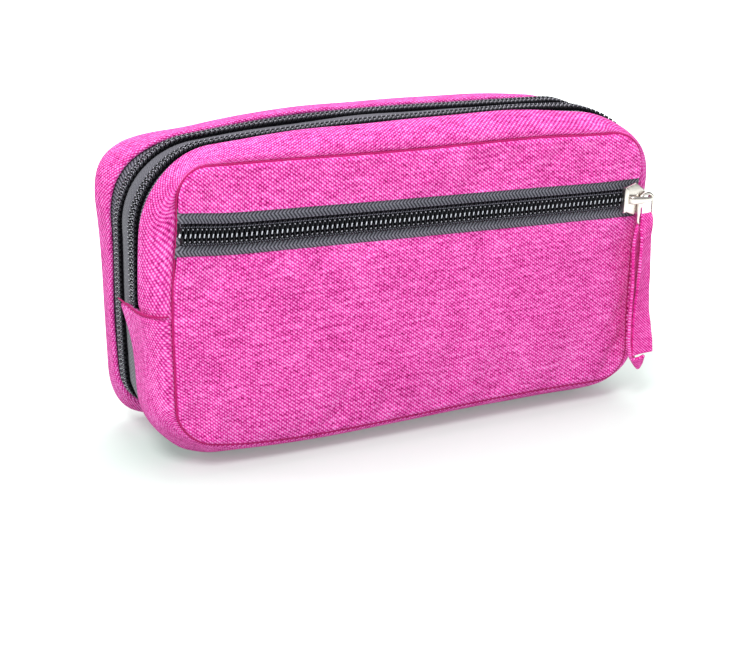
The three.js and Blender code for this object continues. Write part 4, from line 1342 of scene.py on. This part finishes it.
# Rings and cloth pulls
WIRE = 0.62 * MM
POCKET_WIRE = 0.66 * MM
RING_SEAT = 1.1 * MM
RING_LOW_RADIUS = 1.3 * MM
STRAP_THICK = 0.9 * MM
FOLD_RADIUS = WIRE + STRAP_THICK / 2 + 0.15 * MM
RIBBON_PLACES = np.array([-1, -0.97, -0.9, -0.78, -0.55, -0.25, 0, 0.25, 0.55, 0.78, 0.9, 0.97, 1])
RIBBON_SEED = 5
STITCH_STEP = 1.15 * MM


def wire_loop(name, half_wide, half_tall, top_radius, wire):
    """A bent wire ring in X and Z, round at its top."""
    top_x, top_z = half_wide - top_radius, half_tall - top_radius
    low_x, low_z = half_wide - RING_LOW_RADIUS, RING_LOW_RADIUS - half_tall
    path = []
    for quarter, (cx, cz, radius) in enumerate((
        (top_x, top_z, top_radius), (-top_x, top_z, top_radius),
        (-low_x, low_z, RING_LOW_RADIUS), (low_x, low_z, RING_LOW_RADIUS),
    )):
        for share in np.linspace(0, 1, 9):
            turn = (quarter + share) * math.pi / 2
            path.append((cx + radius * math.cos(turn), 0, cz + radius * math.sin(turn)))
    path = np.array(path)
    closed = np.concatenate([path[-1:], path, path[:1]])
    out = np.cross(unit(closed[2:] - closed[:-2]), SIDEWAYS)
    turn = round_turns(12)
    round_wire = np.cos(turn)[None, :, None] * out[:, None] + np.sin(turn)[None, :, None] * SIDEWAYS
    grid = path[:, None] + wire * round_wire
    return dress(grid_piece(name, grid, wrap_rows=True, wrap_columns=True), METAL)


def curve_through(knots, k, share):
    """A smooth curve through knots, at a share of the way from knot k to the next."""
    before, after = np.maximum(k - 1, 0), np.minimum(k + 2, len(knots) - 1)
    a, b, c, d = knots[before], knots[k], knots[k + 1], knots[after]
    bend = (2 * a - 5 * b + 4 * c - d) * share ** 2 + (3 * b - a - 3 * c + d) * share ** 3
    return 0.5 * (2 * b + (c - a) * share + bend)


def ribbon_piece(name, knots, per_knot, wave):
    """A woven ribbon through knots of (place, direction across, width), with thick selvedges."""
    at, across, wide = (np.array([knot[k] for knot in knots], float) for k in range(3))
    t = np.linspace(0, len(knots) - 1, (len(knots) - 1) * per_knot + 1)
    k = np.minimum(t.astype(int), len(knots) - 2)
    share = (t - k)[:, None]
    path = curve_through(at, k, share)
    side = unit(lerp(across[k], across[k + 1], smooth(share)))
    width = lerp(wide[k], wide[k + 1], smooth(share[:, 0]))
    out = unit(np.cross(heading(path), side))
    gone = walked_along(path)
    outward = np.abs(RIBBON_PLACES)
    lip = np.where(outward > 0.74, 0.12 * MM, 0) - np.where(outward > 0.99, 0.3 * MM, 0)
    draw = np.random.default_rng(RIBBON_SEED)
    curl = wave * np.sin(gone * 190 + draw.uniform(0, 6))[:, None] * RIBBON_PLACES[None, :] ** 2
    aside = width[:, None] / 2 * RIBBON_PLACES[None, :]

    def layer(way):
        depth = way * (STRAP_THICK / 2 + lip[None, :]) + curl
        return path[:, None] + side[:, None] * aside[..., None] + out[:, None] * depth[..., None]

    loop = np.concatenate([layer(1), layer(-1)[:, ::-1]], axis=1)
    u = np.concatenate([aside, aside[:, ::-1]], axis=1)
    piece = tube_piece(name, loop, np.stack([u, gone[:, None] + 0 * u], -1))
    soften(dress(piece, STRAP_PINK))
    return piece, path, side, out, width, gone


def selvedge_stitches(name, ribbon, inset, sewn_shares):
    """Short stitches along both selvedges of a ribbon."""
    _, path, side, out, width, gone = ribbon
    start, end = gone[-1] * sewn_shares[0], gone[-1] * sewn_shares[1]
    height = (STRAP_THICK / 2 + np.array([0.18, 0.34, 0.18]) * MM)[:, None]

    def at_ends(values, ends):
        return np.stack([np.interp(ends, gone, values[:, k]) for k in range(3)], -1)

    tubes = []
    for way in (-1, 1):
        for at in np.arange(start, end, STITCH_STEP):
            ends = at + STITCH_STEP * np.array([0, 0.3, 0.62])
            across = at_ends(side, ends)
            half = np.interp(ends, gone, width)[:, None] / 2 - inset
            line = at_ends(path, ends) + across * half * way + at_ends(out, ends) * height
            tubes.append(tube_grid(line, 0.16 * MM, 5, across[1]))
    return dress(repeated_tubes(name, np.array(tubes)), PINK_THREAD)


def add_pull(name, knots, per_knot, wave, inset, sewn_shares, node, body):
    ribbon = ribbon_piece(f"{name}_pull_strap", knots, per_knot, wave)
    fitted(ribbon[0], "pink_cloth", node, rides=body)
    sewn = selvedge_stitches(f"{name}_pull_stitches", ribbon, inset, sewn_shares)
    fitted(sewn, "pink_cloth", rides=body)


def add_pocket_slider():
    low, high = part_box("pocket_slider_body")
    centre = on_pocket(np.array([(low.x + high.x) / 2 / math.cos(ZIP_TILT), 0, 0]))
    upright = Matrix(((1, 0, 0), (0, 0, -1), (0, 1, 0))).to_4x4()
    add_casting("pocket", centre, Matrix.Rotation(ZIP_TILT, 4, "Y") @ upright)
    low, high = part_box("pocket_ring")
    ring_at = (low + high) / 2
    half_wide, half_tall = (high.x - low.x) / 2 - WIRE, (high.z - low.z) / 2 - WIRE
    ring = wire_loop("pocket_ring_wire", half_wide, half_tall, half_wide * 0.99, POCKET_WIRE)
    ring.location = ring_at - Vector((RING_SEAT, 0, 0))
    fitted(ring, "slider_metal", "pocket_ring", rides="pocket_ring")
    add_pocket_strap(Vector((ring_at.x, ring_at.y, ring_at.z - half_tall)))


def add_pocket_strap(wire):
    """The cloth pull: a wide front leg, a rear leg that has turned edge on, and its curled end."""
    front_y = wire.y - FOLD_RADIUS - 0.5 * MM
    rear_y = wire.y - 0.2 * MM
    x = wire.x - 1.2 * MM

    def leg(leg_y, knots):
        """Knots of one leg: aside, forward and up, then the direction across and the width."""
        return [((x + aside * MM, leg_y - ahead * MM, up * MM), across, wide * MM)
                for aside, ahead, up, across, wide in knots]

    def over(turn, wide, lift):
        """A place on the loose fold over the wire."""
        up = wire.z + (math.sin(turn) * FOLD_RADIUS + lift * MM)
        return (x + 0.3 * MM, wire.y - math.cos(turn) * FOLD_RADIUS, up), (1.0, 0.12, 0.0), wide * MM

    knots = leg(front_y, (
        (2.0, 0.1, 21.4, (1.0, 0.03, 0.05), 9.6),
        (1.6, 0.3, 26, (1.0, 0.06, 0.02), 9.5),
        (1.0, 0.4, 32, (0.98, 0.18, 0.0), 9.4),
        (0.3, 0.3, 40, (0.93, 0.36, 0.0), 9.3),
        (0.0, 0.2, 49, (0.88, 0.47, 0.0), 9.2),
        (0.0, 0.1, 59, (0.85, 0.52, 0.0), 8.8),
        (0.2, 0.0, 67, (0.86, 0.5, 0.0), 7.6),
    ))
    knots += [over(0.1, 5.6, 0.4), over(0.8, 5.2, 1.6), over(1.57, 5.0, 2.2), over(2.3, 5.0, 1.6)]
    knots += [over(3.0, 5.4, 0.2)]
    knots += leg(rear_y, (
        (-2.1, 0.0, 69, (0.88, 0.47, 0), 6.0),
        (-2.5, 0.2, 61, (0.86, 0.5, 0), 6.8),
        (-2.2, 0.3, 49, (0.84, 0.54, 0), 7.2),
        (-2.0, 0.3, 38, (0.82, 0.57, 0), 7.4),
        (-2.0, 0.3, 28, (0.78, 0.62, 0), 7.6),
        (-2.0, 0.5, 21.5, (0.7, 0.7, -0.2), 7.6),
        (-1.2, 0.9, 17.9, (0.6, 0.5, -0.6), 7.6),
        (1.2, 1.2, 17.2, (0.3, 0.4, -0.86), 6.6),
        (3.4, 1.0, 18.6, (0.1, 0.4, -0.9), 4.6),
    ))
    add_pull(
        "pocket", knots, per_knot=12, wave=0.25 * MM, inset=0.9 * MM, sewn_shares=(0.01, 0.4),
        node="pocket_strap", body="pocket_strap",
    )


def add_side_slider(name, zip_y):
    """A perimeter slider on the straight right side, with its ring and cloth pull."""
    low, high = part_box(f"{name}_slider_body")
    seat = girth_point(right_at((low.z + high.z) / 2), 1, TAPE_RECESS, zip_y)
    add_casting(name, seat, Matrix(((0, 0, 1), (0, 1, 0), (-1, 0, 0))).to_4x4())
    low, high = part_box(f"{name}_slider_ring")
    ring_at = (low + high) / 2
    half_wide, half_tall = (high.y - low.y) / 2 - WIRE, (high.z - low.z) / 2 - WIRE
    ring = wire_loop(f"{name}_ring_wire", half_wide, half_tall, half_wide * 0.8, WIRE)
    ring.matrix_world = Matrix.Translation(ring_at) @ Matrix.Rotation(math.pi / 2, 4, "Z")
    fitted(ring, "slider_metal", f"{name}_slider_ring", rides=f"{name}_pull")
    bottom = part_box(f"{name}_slider_strap")[0].z
    wire_z = ring_at.z - half_tall

    def knot(out, up, wide, lean=0.0):
        return (ring_at.x + out * FOLD_RADIUS + lean * MM, ring_at.y, up), (0, 1.0, 0), wide * MM

    low_z, high_z = lerp(bottom, wire_z, 0.35), lerp(bottom, wire_z, 0.7)
    fold = np.linspace(0, math.pi, 5)
    knots = [knot(1, bottom, 6, 0.1), knot(1, low_z, 6), knot(1, high_z, 5.6)]
    knots += [knot(math.cos(turn), wire_z + math.sin(turn) * FOLD_RADIUS, 4.6) for turn in fold]
    knots += [knot(-1, high_z, 5.6), knot(-1, low_z, 6), knot(-1, bottom + 1 * MM, 6, 0.25)]
    add_pull(
        name, knots, per_knot=8, wave=0.1 * MM, inset=0.8 * MM, sewn_shares=(0.02, 0.36),
        node=f"{name}_slider_strap", body=f"{name}_pull",
    )


# Inside of the case
CASE_CENTRE = np.array([0, 0, HEIGHT / 2])
PLATE_SHARES = np.array([0.97, 0.9, 0.8, 0.65, 0.5, 0.35, 0.2, 0.08])
PLATE_SEED = 9


def towards_centre(rim, shares):
    """Rings of points from a rim in towards the case's centre."""
    return rim[:, None] * shares[None, :, None] + CASE_CENTRE * (1 - shares[None, :, None])


def fan_plate(name, inset, spread, node, edge, bumps=0.0):
    """A board of the case's outline with soft edges, closed in its middle."""
    low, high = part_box(node)
    s = stations(0, GIRTH, 3 * MM)[:-1][:, None]
    turn = np.linspace(-math.pi / 2, math.pi / 2, 7)
    rim_y = np.clip((high.y + low.y) / 2 + (high.y - low.y) / 2 * np.sin(turn), low.y, high.y)
    rim_in = inset + edge * (1 - np.cos(turn))
    rim = girth_point(s, spread, rim_in[None, :], rim_y[None, :])

    def face(y, rim_edge):
        flat = towards_centre(rim_edge, PLATE_SHARES)
        ripple = np.sin(flat[..., 0] * 130 + PLATE_SEED) * np.sin(flat[..., 2] * 170 + PLATE_SEED * 2)
        flat[..., 1] = y + bumps * ripple * (1 - PLATE_SHARES[None, :] ** 8)
        return flat

    whole = np.concatenate([face(low.y, rim[:, 0])[:, ::-1], rim, face(high.y, rim[:, -1])], axis=1)
    rows, columns = whole.shape[:2]
    faces = grid_quads(rows, columns, wrap_rows=True).tolist()
    faces.append([i * columns for i in range(rows)])
    faces.append([i * columns + columns - 1 for i in range(rows)])
    return face_out(make_piece(name, whole, faces, whole[..., [0, 2]]))


def domed_sheet(name, node, thick, columns, rows, gather):
    """Cloth that bellies out from a board towards the front, gathered into soft folds."""
    low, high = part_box(node)
    puff = high.y - low.y - thick
    u = np.linspace(-1, 1, columns)[:, None]
    v = np.linspace(0, 1, rows)[None, :]
    rise = 1 - (1 - v) ** 3 if gather else 1 + 0 * v
    depth = puff * (1 - np.abs(u) ** 4) * rise
    folds = 0.45 * MM * gather * np.sin(u * 34) * smooth(v * 1.4) * (1 - np.abs(u) ** 6)
    x = high.x * u + 0 * v
    z = lerp(low.z, high.z, v) + 0 * u
    y = np.minimum(high.y - depth - folds - thick * 0.5, high.y - thick)
    piece = sheet_piece(name, np.stack([x, y, z], -1), np.stack([x, z], -1), (0, -1, 0))
    thicken(piece, thick)
    return piece


def add_divider():
    board = fan_plate(
        "divider_board_cover", inset=2.8 * MM, spread=1, node="divider_board", edge=0.9 * MM,
        bumps=0.12 * MM,
    )
    fitted(dress(board, LINING), "lining", "divider_board", rides="core")
    net = domed_sheet("net_pocket_mesh", "net_pocket", thick=0.5 * MM, columns=46, rows=26, gather=1.0)
    fitted(dress(net, NET), "net", "net_pocket", rides="core")
    binding = domed_sheet(
        "net_pocket_elastic", "net_pocket_binding", thick=0.9 * MM, columns=60, rows=8, gather=0.0,
    )
    fitted(dress(binding, ELASTIC), "elastic", "net_pocket_binding", rides="core")


# Elastics for pens
PEN_HEIGHTS = (34 * MM, 70 * MM)
LOOP_HALF = 8.6 * MM
LOOP_FOOT = 2 * MM
ELASTIC_THICK = 1 * MM


def add_pen_loops():
    """Elastic sewn to the divider between two loops, each the width of a pen."""
    for name in ("pen_elastic_left", "pen_elastic_right"):
        low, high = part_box(name)
        deep = high.y - low.y - ELASTIC_THICK
        path = [(low.y, low.z)]
        for z in PEN_HEIGHTS:
            path.append((low.y, z - LOOP_HALF - LOOP_FOOT))
            for turn in np.linspace(-math.pi / 2, math.pi / 2, 15):
                path.append((low.y + deep * math.cos(turn), z + LOOP_HALF * math.sin(turn)))
            path.append((low.y, z + LOOP_HALF + LOOP_FOOT))
        path.append((low.y, high.z))
        y, z = np.array(path).T
        line = np.stack([0 * y + (low.x + high.x) / 2, y + ELASTIC_THICK * 0.6, z], -1)
        across = np.linspace(-1, 1, 9) * (high.x - low.x) / 2
        rightward = np.array([1.0, 0, 0])
        bow = 0.35 * MM * (1 - (across / across[-1]) ** 2)
        out = np.cross(rightward, heading(line))
        grid = line[:, None] + across[None, :, None] * rightward + out[:, None] * bow[None, :, None]
        flat = np.stack(np.broadcast_arrays(walked_along(line)[:, None], across[None, :]), -1)
        piece = dress(sheet_piece(f"{name}_web", grid, flat, (0, 1, 0)), ELASTIC)
        add_modifier(piece, "SOLIDIFY", thickness=ELASTIC_THICK, offset=0)
        soften(piece)
        fitted(piece, "elastic", name, rides="core")


def add_pocket_liner():
    """The front pocket's bag behind the panel."""
    low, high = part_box("pocket_liner")
    u = edge_spaced(60)[:, None]
    v = (edge_spaced(30)[None, :] + 1) / 2
    z = lerp(low.z, high.z, v)
    reach = rounded_half(high.x, np.maximum(0, z - (high.z - SEAM_RADIUS + 2 * MM)))
    x, z = u * reach, z + 0 * u
    edge = np.minimum(np.minimum(reach - np.abs(x), z - low.z), high.z - z)
    belly = np.sqrt(np.clip(edge / (7 * MM), 0, 1))
    folds = 0.35 * MM * np.sin(x * 260) * np.sin(z * 190 + x * 40) * smooth(edge / (9 * MM))
    y = lerp(low.y + 0.5 * MM, high.y, belly) + folds - 0.4 * MM
    grid = np.stack([x, np.minimum(y, high.y), z], -1)
    piece = dress(sheet_piece("pocket_liner_bag", grid, np.stack([x, z], -1), (0, 1, 0)), LINING)
    thicken(piece, 0.6 * MM)
    fitted(piece, "lining", "pocket_liner", rides="front_flap")


# Insulation: the levels of the foam band, as spread, inset and depth
FOAM_IN, FOAM_OUT = 2.3 * MM, 5.7 * MM


def add_insulation():
    board = fan_plate(
        "insulation_board_foam", inset=2 * MM, spread=0, node="rear_insulation_board", edge=0.8 * MM,
    )
    low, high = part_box("rear_insulation_band")
    levels = np.array([
        (1, FOAM_IN, low.y + 0.6 * MM), (1, FOAM_IN, 19 * MM), (0.9, FOAM_IN, 24 * MM),
        (0.72, FOAM_IN, high.y), (0.72, FOAM_OUT - 1.2 * MM, high.y - 0.6 * MM),
        (0.9, FOAM_OUT, 21 * MM), (1, FOAM_OUT, 18 * MM), (1, FOAM_OUT, low.y + 0.3 * MM),
        (1, FOAM_IN + 0.6 * MM, low.y),
    ])
    along = stations(0, GIRTH, 4 * MM)[:-1]
    band = gusset_piece("insulation_band_foam", along, levels, True, seed=81)
    soften(band)
    for piece, node in ((board, "rear_insulation_board"), (band, "rear_insulation_band")):
        fitted(dress(piece, FOAM), "foam", node, rides="rear_shell")


def add_foil():
    """Metallised lining: a crinkled tray with a soft corner."""
    low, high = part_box("foil_liner")
    s = stations(0, GIRTH, 2.5 * MM)[:-1][:, None]
    inset = HALF_WIDTH + SIDE_BOW - high.x
    wall_y = lerp(low.y, high.y, np.array([0, 0.25, 0.5, 0.75, 0.9]))[None, :]
    crease = 0.3 * MM * np.sin(s * 900 + wall_y * 500) * np.sin(s * 410)
    wall = girth_point(s, 1, inset + crease, wall_y)
    rim = girth_point(s[:, 0], 1, inset + 1.2 * MM, high.y)
    floor = towards_centre(rim, np.concatenate([[1.0, 0.985], np.linspace(0.95, 0.04, 22)]))
    x, z = floor[..., 0], floor[..., 2]
    floor[..., 1] = high.y - 0.35 * MM * (1 + np.sin(x * 330 + z * 90) * np.sin(z * 280 - x * 120))
    grid = np.concatenate([wall, floor], axis=1)
    rows, columns = grid.shape[:2]
    faces = grid_quads(rows, columns, wrap_rows=True).tolist()
    faces.append([i * columns + columns - 1 for i in range(rows)])
    piece = make_piece("foil_lining_film", grid, faces, grid[..., [0, 2]])
    dress(face_out(piece, (0, -1, 0)), FOIL)
    add_modifier(piece, "SOLIDIFY", thickness=0.4 * MM, offset=0)
    fitted(piece, "foil", "foil_liner", rides="rear_shell")


def add_gel_pack():
    """A gel pack with welded edges, held by a net sleeve."""
    low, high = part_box("gel_pack")
    columns, rows = 56, 44
    weld = 6 * MM
    half_x, half_z = (high.x - low.x) / 2, (high.z - low.z) / 2
    u = np.linspace(-1, 1, columns)[:, None]
    v = np.linspace(-1, 1, rows)[None, :]
    x, z = half_x * u + 0 * v, half_z * v + 0 * u
    edge = np.minimum(half_x - np.abs(x), half_z - np.abs(z))
    swell = smooth((edge - weld) / (16 * MM))
    dents = 1 + 0.12 * np.sin(x * 110 + 1) * np.sin(z * 140) + 0.06 * np.sin(x * 260 - z * 200)
    y = high.y - 0.5 * MM - (high.y - low.y) * 0.82 * swell * dents
    front = np.stack([x, y, z + (low.z + high.z) / 2], -1)
    front = front + settled(front, edge < weld, pressure=1.5, growth=0.01, bending=0.1)
    front[..., 1] = np.clip(front[..., 1], low.y + 0.1 * MM, high.y - 0.5 * MM)
    back = front.copy()
    back[..., 1] = high.y - 0.05 * MM
    quads = grid_quads(columns, rows)
    behind = columns * rows
    faces = quads.tolist() + (quads[:, ::-1] + behind).tolist()
    numbers = np.arange(behind).reshape(columns, rows)
    rim = [*numbers[:, 0], *numbers[-1, 1:], *numbers[-2::-1, -1], *numbers[0, -2:0:-1]]
    faces += [[a, b, b + behind, a + behind] for a, b in zip(rim, rim[1:] + rim[:1])]
    points = np.concatenate([front.reshape(-1, 3), back.reshape(-1, 3)])
    piece = dress(face_out(make_piece("gel_pack_film", points, faces)), GEL)
    fitted(piece, "gel", "gel_pack", rides="rear_shell")
    sleeve = domed_sheet("gel_sleeve_net", "gel_sleeve", thick=0.5 * MM, columns=50, rows=26, gather=0.4)
    fitted(dress(sleeve, NET), "net", "gel_sleeve", rides="rear_shell")


# Studio
FLOOR_HALF = 6.0
# The floor's colours and its near glow are a little green, against the pink light that the case bounces
# onto it
FLOOR_TONES = ((0.56, 0.63, 0.595, 1), (0.58, 0.65, 0.615, 1))
PAINTED_SHADOW_GLOW = (0.225, 0.25, 0.238, 1)
FAR_GLOW = (1.0, 1.0, 1.0, 1)
NO_GLOW = (0.0, 0.0, 0.0, 1)
SHADE_STRETCH = (0.5, 1.0, 0.0)
SHADE_SHIFT = (-0.014, 0.0, 0.0)
SHADE_REACH = 0.057
SHADE_FADE = 0.12
LIT_AT = (0, 0, 0.05)


def add_floor():
    """A pale floor that takes the case's shadow, with a painted shadow as well: its glow to the camera is
    dim in an oval round the case and plain white farther out.
    """
    shade = Shade("studio_floor")
    tone = shade.mix(shade.noise(shade.place(), 30, 2), *FLOOR_TONES)
    squash = {0: shade.place(), 1: SHADE_STRETCH, 2: SHADE_SHIFT}
    oval = shade.node("VectorMath", {"operation": "MULTIPLY_ADD"}, squash)
    away = shade.node("VectorMath", {"operation": "LENGTH"}, {0: oval}, out=1)
    # Painted shadow: the glow is dim in an oval round the case and white farther out
    glow = shade.mix(shade.clamped((away - SHADE_REACH) / SHADE_FADE), PAINTED_SHADOW_GLOW, FAR_GLOW)
    seen = shade.clamped(shade.ray("Camera") + shade.ray("Glossy") + shade.ray("Transmission"))
    finish = shade.surface(
        Base_Color=tone, Roughness=0.9, Specular_IOR_Level=0.0,
        Emission_Color=shade.mix(seen, NO_GLOW, glow), Emission_Strength=1.0,
    )
    corners = [(x * FLOOR_HALF, y * FLOOR_HALF, 0) for x, y in ((-1, -1), (1, -1), (1, 1), (-1, 1))]
    mesh = bpy.data.meshes.new("floor")
    mesh.from_pydata(corners, [], [(0, 1, 2, 3)])
    floor = dress(linked("studio_floor", mesh), finish)
    floor.location.z = -0.1 * MM


def add_world(light, seen, mirrored):
    """A white room that is plain to the camera, dimmer in reflections, and lights the case."""
    shade = Shade("studio", bpy.data.worlds)
    strength = shade.node("Mix", inputs={0: shade.ray("Glossy"), 2: light, 3: mirrored})
    strength = shade.node("Mix", inputs={0: shade.ray("Camera"), 2: strength, 3: seen})
    shade.node("OutputWorld", inputs={0: shade.node("Background", inputs={"Strength": strength})})
    bpy.context.scene.world = shade.holder


def add_lamp(name, at, size, power):
    data = bpy.data.lights.new(name, "AREA")
    data.shape = "DISK"
    data.size = size
    data.energy = power
    lamp = linked(name, data)
    lamp.location = at
    lamp.rotation_euler = (Vector(LIT_AT) - Vector(at)).to_track_quat("-Z", "Y").to_euler()


def add_studio():
    add_floor()
    add_world(light=0.96, seen=1.0, mirrored=0.45)
    add_lamp("key_light", at=(-0.75, -1.0, 1.5), size=0.6, power=21)
    add_lamp("top_light", at=(0.3, 0.4, 1.7), size=1.4, power=17)
    bpy.context.scene.view_settings.view_transform = "Standard"


add_camera()
add_front_gusset()
add_base_gusset()
add_rear_gusset()
add_base_strip()
add_seams()
add_panels()
add_pocket_zip()
add_girth_zips()
add_pocket_slider()
add_side_slider("front", FRONT_ZIP_Y)
add_side_slider("rear", REAR_ZIP_Y)
add_divider()
add_pen_loops()
add_pocket_liner()
add_insulation()
add_foil()
add_gel_pack()
add_studio()

bpy.context.view_layer.update()
